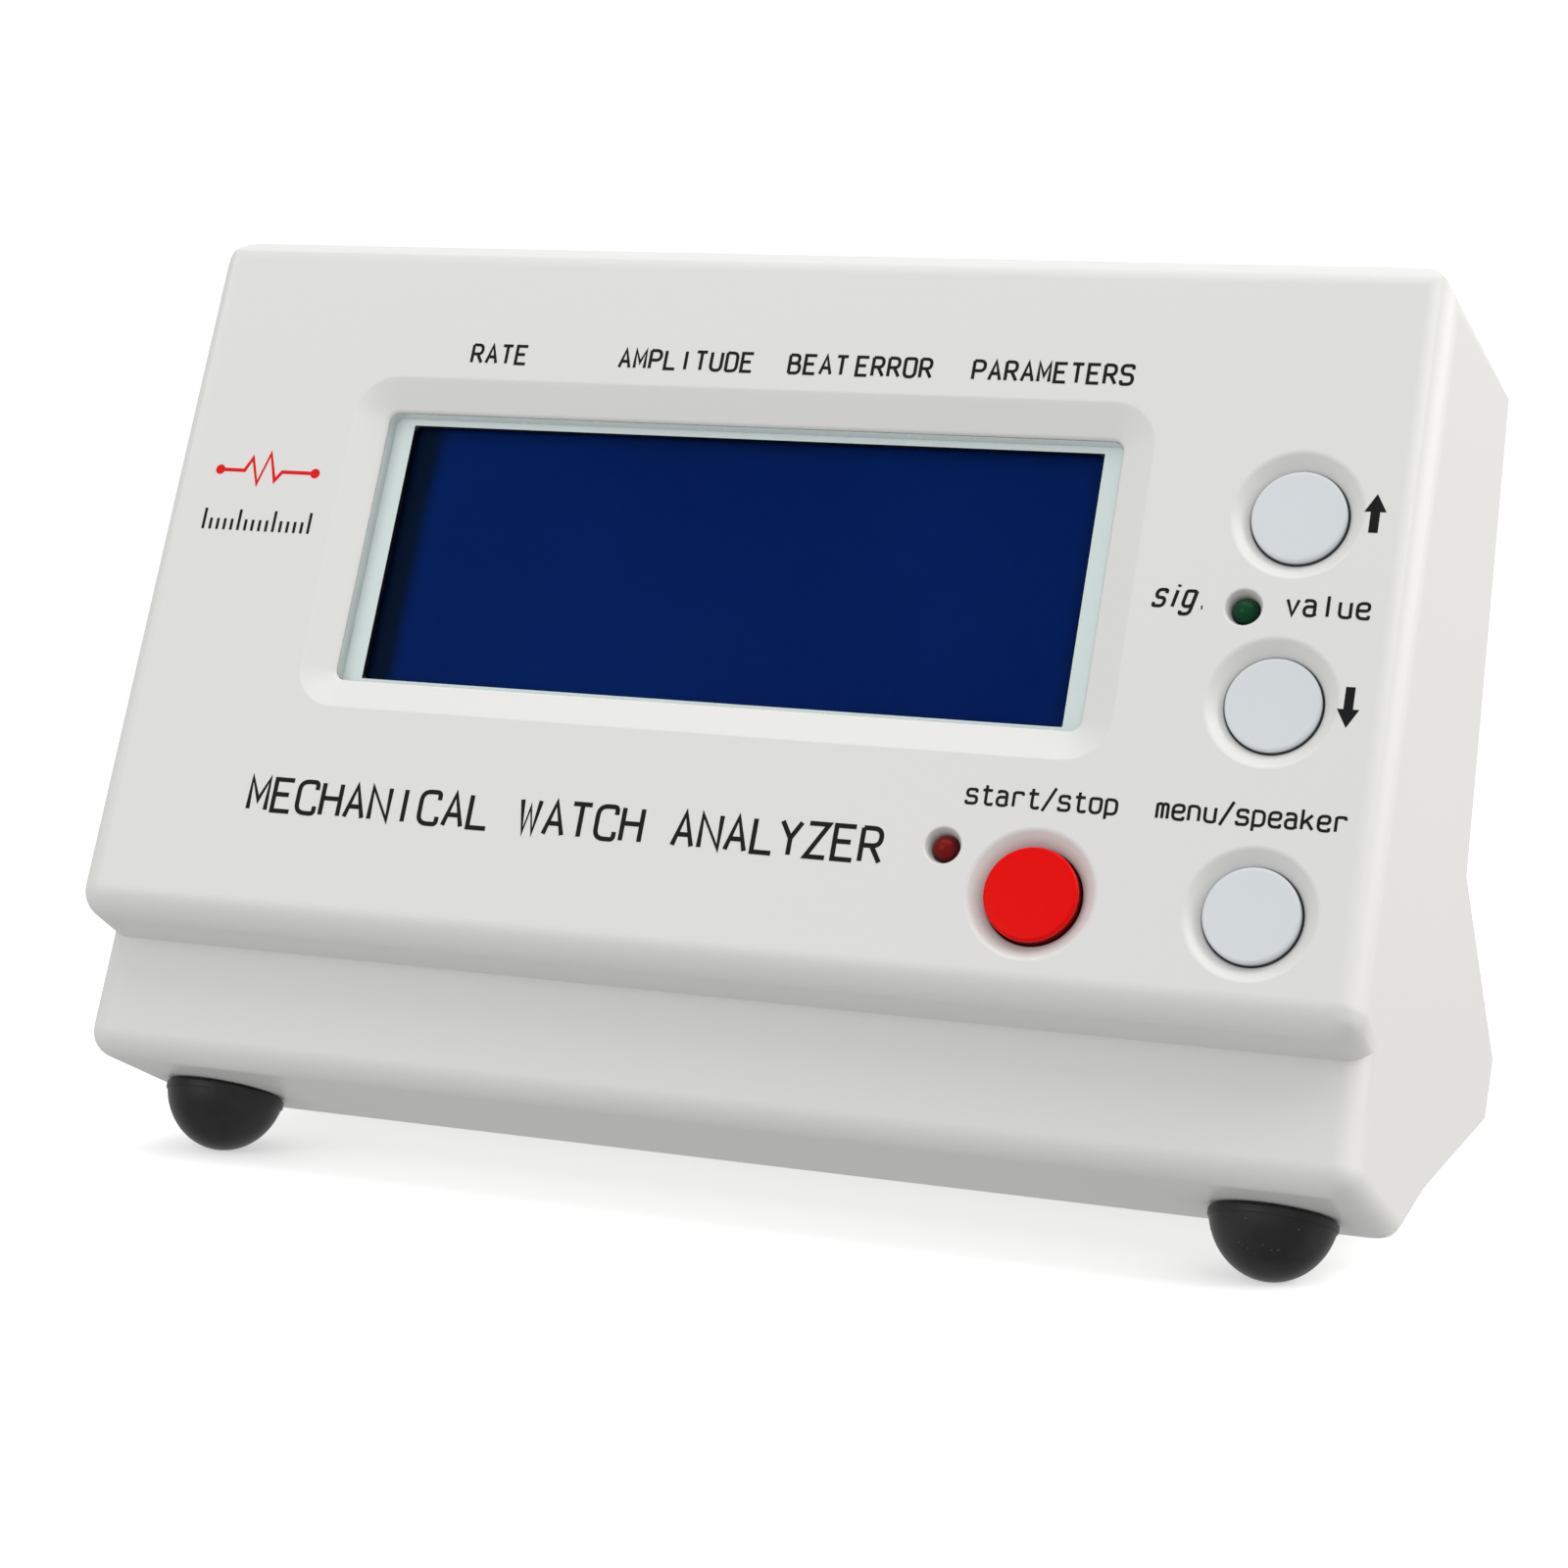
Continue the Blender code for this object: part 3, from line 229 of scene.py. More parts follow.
def soften(points, radii, steps=4):
    """Round the corners of an open profile; radii gives how far from each inner corner the curve starts."""
    points = [Vector(point) for point in points]
    made = [tuple(points[0])]
    for before, corner, after, radius in zip(points, points[1:], points[2:], radii):
        reach = min(radius, (corner - before).length / 2, (after - corner).length / 2)
        if reach <= 0.0:
            made.append(tuple(corner))
            continue
        start = corner + (before - corner).normalized() * reach
        end = corner + (after - corner).normalized() * reach
        for step in range(steps + 1):
            t = step / steps
            made.append(tuple(start * (1 - t) ** 2 + corner * 2 * t * (1 - t) + end * t ** 2))
    made.append(tuple(points[-1]))
    return made


def rounded_rectangle(size, radius, steps=6):
    """Outline of a rectangle with round corners, anticlockwise."""
    points = []
    for corner, (sx, sy) in enumerate(((1, 1), (-1, 1), (-1, -1), (1, -1))):
        for step in range(steps + 1):
            angle = math.pi / 2 * (corner + step / steps)
            points.append((
                sx * (size[0] / 2 - radius) + radius * math.cos(angle),
                sy * (size[1] / 2 - radius) + radius * math.sin(angle),
            ))
    return points


def sunk_frame(mesh, size, radius, profile):
    """Add a plug whose outline grows by each (offset, height) step of its profile."""
    rings = []
    for offset, height in profile:
        outline = rounded_rectangle((size[0] + 2 * offset, size[1] + 2 * offset), radius + offset, 8)
        rings.append([mesh.verts.new((x, y, height)) for x, y in outline])
    loft(mesh, rings)


def prism(mesh, outline, inset):
    """Add a solid with a side-view outline, between the drafted side walls moved in by an inset."""
    rings = [[mesh.verts.new((BODY_X + side * (HALF_WIDTH + DRAFT * n - inset), u, n)) for u, n in outline]
             for side in (-1, 1)]
    loft(mesh, rings)
    return rings


def meet(point_a, along_a, point_b, along_b):
    """Point where two lines of the side view cross."""
    cross = along_a.x * along_b.y - along_a.y * along_b.x
    offset = point_b - point_a
    return point_a + along_a * ((offset.x * along_b.y - offset.y * along_b.x) / cross)


def offset_side(distance):
    """The side view's corners moved inwards by a distance, by name."""
    names = list(SIDE)
    corners = [Vector(SIDE[name]) for name in names]
    moved = {}
    for index, name in enumerate(names):
        before, corner, after = corners[index - 1], corners[index], corners[(index + 1) % len(corners)]
        moved[name] = meet(
            corner + inward(before, corner) * distance, corner - before,
            corner + inward(corner, after) * distance, after - corner,
        )
    return moved


# ---------------------------------------------------------------------------------------------------
# pieces

def mesh_object(name, mesh, place=UNTURNED):
    """Object at the origin, its faces turned outwards and its mesh placed in metres."""
    data = bpy.data.meshes.new(name)
    bmesh.ops.recalc_face_normals(mesh, faces=mesh.faces[:])
    mesh.to_mesh(data)
    mesh.free()
    data.transform(Matrix.Diagonal((MM, MM, MM, 1.0)) @ place)
    item = bpy.data.objects.new(name, data)
    bpy.context.scene.collection.objects.link(item)
    return item


def cut_or_join(item, operation, mesh, place):
    """Cut a shape out of an object, or join it on, with a helper object."""
    helper = mesh_object(f"{item.name}_helper", mesh, place)
    helper.hide_render = True
    step = item.modifiers.new(operation.title(), "BOOLEAN")
    step.operation = operation
    step.solver = "EXACT"
    step.object = helper


def settle(item):
    """Turn an object's modifiers into a plain mesh, and remove them and their helpers."""
    bpy.context.view_layer.update()
    evaluated = item.evaluated_get(bpy.context.evaluated_depsgraph_get())
    data = bpy.data.meshes.new_from_object(evaluated)
    helpers = [m.object for m in item.modifiers if m.type == "BOOLEAN"]
    item.modifiers.clear()
    old = item.data
    item.data = data
    bpy.data.meshes.remove(old)
    data.name = item.name
    for helper in helpers:
        bpy.data.objects.remove(helper)
    return item


def shade(item, angle=32.0):
    """Smooth shading with sharp edges kept, and flat faces that stay flat beside their round edges."""
    item.data.shade_smooth()
    item.data.set_sharp_from_angle(angle=math.radians(angle))
    normals = item.modifiers.new("Even normals", "WEIGHTED_NORMAL")
    normals.keep_sharp = True
    normals.weight = 100


def keep(item, slot, replaces=(), body="case", finish=None):
    """Give a piece its slot's finish or another, its body, and the CAD nodes that it stands for."""
    item.data.materials.clear()
    item.data.materials.append(finish or FINISHES[slot])
    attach(item, body)
    if replaces:
        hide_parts(*replaces)


def lathe_piece(name, profile, place, slot, replaces, body="case", segments=64):
    """A turned piece, finished and placed."""
    mesh = bmesh.new()
    turned(mesh, profile, segments)
    item = mesh_object(name, mesh, place)
    shade(item)
    keep(item, slot, replaces, body)


# ---------------------------------------------------------------------------------------------------
# finishes

class Wire:
    """The output of a node, which adds a Math node when it is used in a sum."""

    def __init__(self, tree, socket):
        self.tree = tree
        self.socket = socket

    def _math(self, operation, first, second=0.0, clamp=False):
        settings = {"operation": operation, "use_clamp": clamp}
        return self.tree.add("ShaderNodeMath", settings, {0: first, 1: second})

    def __add__(self, other):
        return self._math("ADD", self, other)

    __radd__ = __add__

    def __sub__(self, other):
        return self._math("SUBTRACT", self, other)

    def __rsub__(self, other):
        return self._math("SUBTRACT", other, self)

    def __mul__(self, other):
        return self._math("MULTIPLY", self, other)

    __rmul__ = __mul__

    def __pow__(self, other):
        return self._math("POWER", self, other)

    def __mod__(self, other):
        return self._math("FLOORED_MODULO", self, other)

    def __abs__(self):
        return self._math("ABSOLUTE", self)

    def least(self, other):
        """The smaller of two values."""
        return self._math("MINIMUM", self, other)

    def clamped(self):
        """The value kept between 0 and 1."""
        return self._math("ADD", self, 0.0, True)

    def ramp(self, low, high):
        """0 below low, 1 above high, with a soft step between."""
        settings = {"interpolation_type": "SMOOTHSTEP"}
        return self.tree.add("ShaderNodeMapRange", settings, {"Value": self, "From Min": low, "From Max": high})


class Tree:
    """A node tree that is built node by node."""

    def __init__(self, nodes):
        self.nodes = nodes
        self.nodes.nodes.clear()

    def add(self, kind, settings=None, inputs=None, output=0):
        """Add a node: its settings first, then the values or links of its sockets."""
        node = self.nodes.nodes.new(kind)
        for key, value in (settings or {}).items():
            setattr(node, key, value)
        for key, value in (inputs or {}).items():
            if isinstance(value, Wire):
                self.nodes.links.new(value.socket, node.inputs[key])
            else:
                node.inputs[key].default_value = value
        return Wire(self, node.outputs[output]) if len(node.outputs) else None

    def along(self, point):
        """The three coordinates of a point."""
        outputs = self.add("ShaderNodeSeparateXYZ", None, {0: point}).socket.node.outputs
        return [Wire(self, output) for output in outputs]


def opaque(colour):
    """A colour with full cover; a wire or a number is passed on."""
    return (*colour, 1.0) if isinstance(colour, tuple) else colour


class Finish(Tree):
    """One procedural material."""

    def __init__(self, name):
        self.material = bpy.data.materials.new(name)
        self.material.use_nodes = True
        super().__init__(self.material.node_tree)

    def place(self, origin=(0.0, 0.0, 0.0), turn=(0.0, 0.0, 0.0)):
        """Coordinates of a frame, in metres."""
        point = self.add("ShaderNodeTexCoord", output=3)
        settings = {"vector_type": "TEXTURE"}
        return self.add("ShaderNodeMapping", settings, {"Vector": point, "Location": origin, "Rotation": turn})

    def panel_place(self, x=0.0, u=0.0):
        """Coordinates of the panel frame in metres, from a spot on the panel."""
        origin = PANEL @ Vector((x, u, 0.0)) * MM
        return self.along(self.place(tuple(origin), (math.pi / 2 - LEAN, 0.0, 0.0)))

    def noise(self, scale, detail=3.0, roughness=0.5, stretch=None):
        """Fine random variation, 0 to 1 round a middle of 0.5."""
        point = self.place()
        if stretch:
            point = self.add("ShaderNodeVectorMath", {"operation": "MULTIPLY"}, {0: point, 1: stretch})
        inputs = {"Vector": point, "Scale": scale, "Detail": detail, "Roughness": roughness}
        return self.add("ShaderNodeTexNoise", None, inputs)

    def blend(self, amount, low, high):
        """Mix of two colours."""
        return self.add("ShaderNodeMix", {"data_type": "RGBA"}, {0: amount, 6: opaque(low), 7: opaque(high)}, 2)

    def bump(self, height, strength, distance):
        """Surface relief from a height."""
        return self.add("ShaderNodeBump", None, {"Strength": strength, "Distance": distance, "Height": height})

    def surface(self, **inputs):
        """The Principled shader as the whole finish; underscores in names stand for spaces."""
        named = {key.replace("_", " "): opaque(value) for key, value in inputs.items()}
        return self.done(self.add("ShaderNodeBsdfPrincipled", None, named))

    def done(self, shader):
        """The material, with this shader on its surface."""
        self.add("ShaderNodeOutputMaterial", None, {"Surface": shader})
        return self.material


def tone(red, green, blue):
    """A display colour, 0 to 255, as the linear colour that a shader takes."""
    out = []
    for value in (red, green, blue):
        share = value / 255.0
        out.append(share / 12.92 if share <= 0.04045 else ((share + 0.055) / 1.055) ** 2.4)
    return tuple(out)


def moulded_plastic(name, light, dark, roughness, grain=0.25, gloss=0.5, below=None):
    """Injection-moulded plastic: faint flow marks in its colour, an even gloss and a very fine skin.

    Below a level of the panel frame, in millimetres, it can turn to a second, darker colour: painted shade on the
    sides of a button cap, below its face.
    """
    finish = Finish(name)
    flow = finish.noise(28.0, 2.0, 0.4, stretch=(1.0, 0.6, 1.4))
    cloud = finish.noise(9.0, 1.0)
    skin = finish.noise(2600.0, 2.0, 0.6)
    colour = finish.blend(flow * 0.4 + cloud * 0.6, dark, light)
    if below:
        # Painted shade: below the level the colour turns to the darker shade colour.
        level, shade_colour = below
        _, _, n = finish.panel_place()
        colour = finish.blend(n.ramp(level * MM, (level - 0.3) * MM), colour, shade_colour)
    relief = finish.bump(skin * grain, 0.12, 0.00004)
    return finish.surface(
        Base_Color=colour, Roughness=(roughness - 0.02) + skin * 0.04, Specular_IOR_Level=gloss,
        Normal=relief,
    )


def plain_metal(name, colour, roughness):
    """Plated or coated metal with fine streaks and slight stains."""
    finish = Finish(name)
    streaks = finish.noise(900.0, 3.0, 0.6)
    stain = finish.noise(60.0, 3.0)
    darker = tuple(value * 0.8 for value in colour)
    relief = finish.bump(streaks, 0.1, 0.00003)
    return finish.surface(
        Base_Color=finish.blend(stain.ramp(0.35, 0.65), darker, colour), Metallic=1.0,
        Roughness=(roughness - 0.06) + streaks * 0.12, Normal=relief,
    )


def ink(name, colour, roughness=0.45, painted_glow=0.0):
    """Pad-printed ink with slightly uneven cover; a glow is painted light that makes it look brighter."""
    finish = Finish(name)
    cover = finish.noise(1500.0, 3.0, 0.6)
    lighter = tuple(value * 1.2 + 0.001 for value in colour)
    return finish.surface(
        Base_Color=finish.blend(cover.ramp(0.55, 0.85), colour, lighter), Roughness=roughness + cover * 0.1,
        # Emission here is painted glow, not a lamp.
        Specular_IOR_Level=0.15, Emission_Color=colour, Emission_Strength=painted_glow,
    )


def rubber(name, colour, roughness):
    """Moulded rubber with a satin skin, dust specks and a fine grain."""
    finish = Finish(name)
    grain = finish.noise(1400.0, 3.0, 0.6)
    bloom = finish.noise(140.0, 3.0)
    specks = finish.noise(1900.0, 1.0).ramp(0.74, 0.78)
    greyer = tuple(value + 0.012 for value in colour)
    base = finish.blend(bloom.ramp(0.35, 0.7), colour, greyer)
    dusty = finish.blend(specks * 0.35, base, tone(120, 122, 122))
    relief = finish.bump(grain, 0.2, 0.00006)
    return finish.surface(
        Base_Color=dusty, Roughness=(roughness - 0.05) + bloom * 0.14, Specular_IOR_Level=0.3, Normal=relief,
    )


def switched_off_display():
    """Blue display glass with painted shade along its margins, deepest and widest at the left."""
    finish = Finish("display_blue")
    x, u, _ = finish.panel_place()
    half_x, half_u = VIEW_SIZE[0] / 2 * MM, VIEW_SIZE[1] / 2 * MM
    from_left = x + half_x
    from_right = half_x - x
    from_top = half_u - u
    from_bottom = u + half_u
    waver = finish.noise(90.0, 2.0)
    # Painted shade: a soft dark band inside the left margin, narrower ones along the other edges, blending to the
    # dark shade colour.
    left = (from_left + waver * 0.0012).ramp(0.0030, 0.0062)
    edges = from_right.ramp(-0.0004, 0.0028).least(from_top.ramp(-0.0008, 0.0026)).least(
        from_bottom.ramp(-0.0012, 0.0012))
    unshaded_area = left * (edges * 0.45 + 0.55)
    blue = finish.blend(finish.noise(26.0, 2.0).ramp(0.3, 0.7), tone(0, 36, 108), tone(0, 40, 114))
    colour = finish.blend(unshaded_area, tone(3, 22, 50), blue)
    return finish.surface(Base_Color=colour, Roughness=0.3, IOR=1.5, Specular_IOR_Level=0.03)


def clear_sheet(name, tint):
    """Clear polished sheet: the view through it, with a reflection that grows at a slant."""
    finish = Finish(name)
    through = finish.add("ShaderNodeBsdfTransparent", None, {"Color": opaque(tint)})
    gloss = finish.add("ShaderNodeBsdfGlossy", None, {"Color": opaque(WHITE), "Roughness": 0.03})
    slant = finish.add("ShaderNodeFresnel", None, {"IOR": 1.45})
    share = ((slant - 0.06) * 0.8).clamped()
    return finish.done(finish.add("ShaderNodeMixShader", None, {0: share, 1: through, 2: gloss}))


def lens(name, lamp_name, shaded_rim, bright):
    """Tinted clear resin, with painted shade that darkens it from its middle towards its rim."""
    finish = Finish(name)
    x, u, _ = finish.panel_place(*LAMPS[lamp_name])
    reach = (x * x + u * u) * (1 / (LAMP_RADIUS * MM) ** 2)
    # Painted shade: the colour goes from the lit middle to the darker rim colour.
    slope = 1 - (1 - reach).clamped() ** 0.35
    cloud = finish.noise(700.0, 2.0)
    colour = finish.blend((slope + cloud * 0.2 - 0.1).clamped(), bright, shaded_rim)
    return finish.surface(Base_Color=colour, Roughness=0.08 + cloud * 0.03, IOR=1.5, Specular_IOR_Level=0.14)


def circuit_board(name):
    """Green solder mask over copper runs, with the glass weave just showing."""
    finish = Finish(name)
    x, _, z = finish.along(finish.place())
    run_pitch, weave_pitch = 0.0026, 0.0006
    runs = abs(((x + z * 0.2) % run_pitch) - run_pitch / 2).ramp(0.0003, 0.0005)
    breaks = finish.noise(70.0, 1.0).ramp(0.5, 0.52)
    weave = abs((x % weave_pitch) - weave_pitch / 2) + abs((z % weave_pitch) - weave_pitch / 2)
    mask = finish.blend(runs * breaks, tone(10, 84, 44), tone(6, 66, 36))
    clouding = finish.noise(40.0, 2.0)
    relief = finish.bump(runs * 0.00003 + weave * 0.02, 0.5, 1.0)
    return finish.surface(
        Base_Color=finish.blend(clouding * 0.5, mask, tone(4, 50, 30)), Roughness=0.33 + clouding * 0.06,
        IOR=1.5, Normal=relief,
    )


def chip_compound(name):
    """Dull moulding compound with a sandy skin."""
    finish = Finish(name)
    sand = finish.noise(3000.0, 2.0, 0.7)
    return finish.surface(
        Base_Color=finish.blend(sand, tone(30, 30, 32), tone(44, 44, 46)), Roughness=0.55 + sand * 0.2,
        Normal=finish.bump(sand, 0.3, 0.00005),
    )


def sleeve(name):
    """Heat-shrunk sleeve of a capacitor with its pale polarity stripe."""
    finish = Finish(name)
    x, _, _ = finish.along(finish.place())
    stripe = abs((x % 0.012) - 0.004).ramp(0.0011, 0.0009)
    wrap = finish.noise(300.0, 2.0)
    colour = finish.blend(stripe * 0.8, tone(18, 26, 52), tone(150, 156, 170))
    return finish.surface(Base_Color=colour, Roughness=0.3 + wrap * 0.15)


def pulp(name):
    """Pressed paper of a speaker cone."""
    finish = Finish(name)
    fibres = finish.noise(900.0, 4.0, 0.7, stretch=(1.0, 3.0, 1.0))
    return finish.surface(
        Base_Color=finish.blend(fibres, tone(22, 22, 24), tone(52, 50, 50)), Roughness=0.85,
        Normal=finish.bump(fibres, 0.6, 0.0001),
    )


def ground():
    """Matt white studio ground."""
    finish = Finish("studio_white")
    paper = finish.noise(12.0, 2.0)
    return finish.surface(
        Base_Color=finish.blend(paper, (0.86, 0.86, 0.86), (0.88, 0.88, 0.88)), Roughness=0.9,
        Specular_IOR_Level=0.1, Emission_Color=WHITE, Emission_Strength=0.5,
    )


FINISHES = {
    "ivory_plastic": moulded_plastic("ivory_plastic", (0.765, 0.762, 0.745), (0.758, 0.755, 0.737), 0.38),
    # The caps' second, darker colours below a level are painted shade on their sides.
    "white_button": moulded_plastic(
        "white_button_plastic", tone(218, 223, 227), tone(215, 220, 224), 0.3, 0.15,
        below=(-1.45, tone(120, 122, 124))),
    "red_button": moulded_plastic(
        "red_button_plastic", tone(236, 4, 1), tone(230, 2, 0), 0.28, 0.15, gloss=0.08,
        below=(-0.5, tone(120, 2, 1))),
    "black_plastic": moulded_plastic(
        "black_plastic_skin", (0.018, 0.018, 0.02), (0.012, 0.012, 0.014), 0.42, 1.0),
    "light_guide": moulded_plastic("light_guide_plastic", (0.86, 0.88, 0.9), (0.82, 0.85, 0.87), 0.3),
    "grey_ribbon": moulded_plastic("ribbon_insulation", tone(176, 178, 182), tone(160, 162, 168), 0.5, 0.6),
    "bright_steel": plain_metal("plated_steel", (0.62, 0.62, 0.6), 0.26),
    "black_steel": moulded_plastic(
        "black_coated_steel", (0.022, 0.022, 0.025), (0.015, 0.015, 0.018), 0.4, 0.8),
    "ferrite": chip_compound("grey_ferrite"),
    "black_rubber": rubber("black_rubber_skin", (0.010, 0.010, 0.011), 0.34),
    "black_foam": rubber("black_foam_tape", (0.016, 0.016, 0.016), 0.9),
    "display_glass": switched_off_display(),
    "clear_acrylic": clear_sheet("clear_acrylic_sheet", (0.985, 0.995, 0.992)),
    # Each lamp's darker colour is painted shade at the rim of its dome, the brighter one its lit middle.
    "green_lens": lens("green_lamp_resin", "signal_lamp", tone(1, 28, 16), tone(2, 66, 38)),
    "red_lens": lens("red_lamp_resin", "run_lamp", tone(40, 2, 3), tone(122, 10, 10)),
    "green_board": circuit_board("green_circuit_board"),
    "chip_plastic": chip_compound("chip_moulding"),
    "capacitor_sleeve": sleeve("capacitor_sleeve_film"),
    "paper_cone": pulp("cone_paper"),
}
BLACK_INK = ink("black_panel_ink", tone(14, 17, 18))
RED_INK = ink("red_panel_ink", tone(226, 14, 20))
# The pale border's ink gets a faint painted glow on top of its printed colour.
PALE_INK_WITH_PAINTED_GLOW = ink("pale_window_ink", tone(240, 250, 248), 0.3, 0.12)


# ---------------------------------------------------------------------------------------------------
# case

def mark_round_edges(mesh, rings):
    """Mark the outer edges with the share of the full radius that each is rounded by."""
    share = mesh.edges.layers.float.new("bevel_weight_edge")
    for index, name in enumerate(SIDE):
        following = (index + 1) % len(SIDE)
        if name in ACROSS_RADII:
            mesh.edges.get((rings[0][index], rings[1][index]))[share] = ACROSS_RADII[name] / EDGE_RADIUS
        for ring in rings:
            mesh.edges.get((ring[index], ring[following]))[share] = RUN_RADII[name] / EDGE_RADIUS


def round_marked(item, segments):
    """Round the marked edges."""
    rounding = item.modifiers.new("Rounding", "BEVEL")
    rounding.limit_method = "WEIGHT"
    rounding.width = EDGE_RADIUS * MM
    rounding.segments = segments


def top_corners(mesh, steps=12):
    """Cutters that round the top's side edges, most at the panel and least at the back."""
    (front_u, front_n), (rear_u, rear_n) = SIDE["panel_top"], SIDE["top_rear"]
    slope = (rear_u - front_u) / (rear_n - front_n)
    past, clear = 3.0, 0.02
    for side in (-1, 1):
        rings = []
        for n, radius in zip((front_n + past, rear_n - past), TOP_CORNER_RADII):
            x = HALF_WIDTH + DRAFT * n + clear
            u = front_u + slope * (n - front_n) + clear
            section = [(x - radius, u + past), (x + past, u + past), (x + past, u - radius)]
            for step in range(steps + 1):
                angle = math.pi / 2 * step / steps
                section.append((x - radius + radius * math.cos(angle), u - radius + radius * math.sin(angle)))
            rings.append([mesh.verts.new((BODY_X + side * across, up, n)) for across, up in section])
        loft(mesh, rings)


def dish_profile(hole_radius, radius, depth, inner_rim, outer_rim):
    """Section of a round hole with a conical dish in front of it, both with soft rims."""
    slope = (radius - hole_radius) / depth
    points = [(hole_radius, -2 * WALL), (hole_radius, -depth), (radius, -0.1), (radius + outer_rim, 0.02),
              (radius + outer_rim + slope, 1.0)]
    return soften(points, [inner_rim, outer_rim, 0.0])


def front_openings(mesh):
    """Window recess, button holes with their dishes, and lamp holes, all with soft rims."""
    side_step = (WINDOW_RECESS[0] - WINDOW_OPENING[0]) / 2
    land = WINDOW_FRONT + GAP
    slope = [(0.0, -2 * WALL), (0.0, land), (side_step - 0.25, -0.25), (side_step + 0.45, 0.02),
             (side_step + 1.2, 1.0)]
    section = soften(slope, [0.5, 0.8, 0.0])
    sunk_frame(mesh, WINDOW_OPENING, 1.5, section)
    button_dish = dish_profile(HOLE_RADIUS, DISH_RADIUS, DISH_DEPTH, 0.3, 0.5)
    for x, u, _ in BUTTONS.values():
        turned(mesh, button_dish, 72, (x, u))
    lamp_dish = dish_profile(LAMP_HOLE_RADIUS, LAMP_DISH_RADIUS, LAMP_DISH_DEPTH, 0.15, 0.25)
    for centre in LAMPS.values():
        turned(mesh, lamp_dish, 48, centre)


def cavity_outline():
    """Side view of the hollow in the front housing, which runs out of its open back."""
    inner, outer = offset_side(WALL), offset_side(-2 * WALL)
    top_run = (Vector(SIDE["top_rear"]) - Vector(SIDE["panel_top"])).normalized()
    corners = [inner["panel_top"], inner["top_rear"] + top_run * 4 * WALL]
    corners += [outer[name] for name in ("waist", "base_top", "base_bottom", "lip_rear_top")]
    return corners + [inner[name] for name in ("lip_rear_top", "lip_rear", "lip_front", "step", "panel_bottom")]


def boss_outline(side):
    """Round screw boss that runs on into the side wall."""
    points = [(-side * BOSS_REACH, BOSS_RADIUS), (-side * BOSS_REACH, -BOSS_RADIUS)]
    steps = 12
    for step in range(steps + 1):
        angle = -math.pi / 2 + math.pi * step / steps
        points.append((side * BOSS_RADIUS * math.cos(angle), BOSS_RADIUS * math.sin(angle)))
    return points


def screw_places():
    """Frame of each cover screw with its name."""
    for row, (low, high, along) in zip(("upper", "middle", "lower"), COVER_SCREWS):
        for side, hand in ((-1, "left"), (1, "right")):
            yield f"{row}_{hand}_screw", side, wall_frame(low, high, along, side * COVER_SCREW_X)


def front_housing():
    """Panel, top, sides, plinth and lip in one shell with round edges."""
    mesh = bmesh.new()
    rings = prism(mesh, [Vector(corner) for corner in SIDE.values()], 0.0)
    mark_round_edges(mesh, rings)
    item = mesh_object("housing", mesh, PANEL)
    round_marked(item, 8)

    cavity = bmesh.new()
    prism(cavity, cavity_outline(), WALL)
    cut_or_join(item, "DIFFERENCE", cavity, PANEL)

    pillars = bmesh.new()
    for centre in DISPLAY_PILLARS + BUTTON_PILLARS:
        rod(pillars, PILLAR_RADIUS, BOARD_FRONT + GAP, -WALL / 2, centre, segments=24)
    cut_or_join(item, "UNION", pillars, PANEL)

    bosses = bmesh.new()
    for _, side, place in screw_places():
        rings = []
        for z in (-WALL - GAP - BOSS_LENGTH, -WALL - GAP):
            rings.append([bosses.verts.new(place @ Vector((x, y, z))) for x, y in boss_outline(side)])
        loft(bosses, rings)
    cut_or_join(item, "UNION", bosses, UNTURNED)

    openings = bmesh.new()
    front_openings(openings)
    for centre in DISPLAY_PILLARS + BUTTON_PILLARS:
        rod(openings, PILOT_RADIUS, 2 * BOARD_FRONT, BOARD_FRONT + PILOT_DEPTH, centre, segments=16)
    cut_or_join(item, "DIFFERENCE", openings, PANEL)

    pilots = bmesh.new()
    for _, _, place in screw_places():
        rod(pilots, SCREW_HOLE_RADIUS, -WALL - 10.0, 0.0, place=place, segments=16)
    cut_or_join(item, "DIFFERENCE", pilots, UNTURNED)

    corners = bmesh.new()
    top_corners(corners)
    cut_or_join(item, "DIFFERENCE", corners, PANEL)

    settle(item)
    shade(item)
    keep(item, "ivory_plastic", ["front_housing"])


def cover_outline():
    """Side view of the rear cover: a bent plate from under the top wall to the lip."""
    inner = offset_side(WALL)
    top, rear, waist = (Vector(SIDE[name]) for name in ("panel_top", "top_rear", "waist"))
    lip, base = Vector(SIDE["lip_rear_top"]), Vector(SIDE["base_bottom"])
    under_top = top + inward(top, rear) * (WALL + GAP)
    along = (base - lip).normalized() * GAP
    return [
        meet(under_top, rear - top, rear, waist - rear), waist, Vector(SIDE["base_top"]), base, lip + along,
        inner["lip_rear_top"] + along, inner["base_bottom"], inner["base_top"], inner["waist"],
        meet(under_top, rear - top, inner["waist"], waist - rear),
    ]


def slot_outline(length, width, steps=8):
    """Outline of a slot with round ends."""
    reach = (length - width) / 2
    points = []
    for end in (1, -1):
        for step in range(steps + 1):
            angle = -math.pi / 2 + math.pi * step / steps
            points.append((end * (reach + width / 2 * math.cos(angle)), end * width / 2 * math.sin(angle)))
    return points


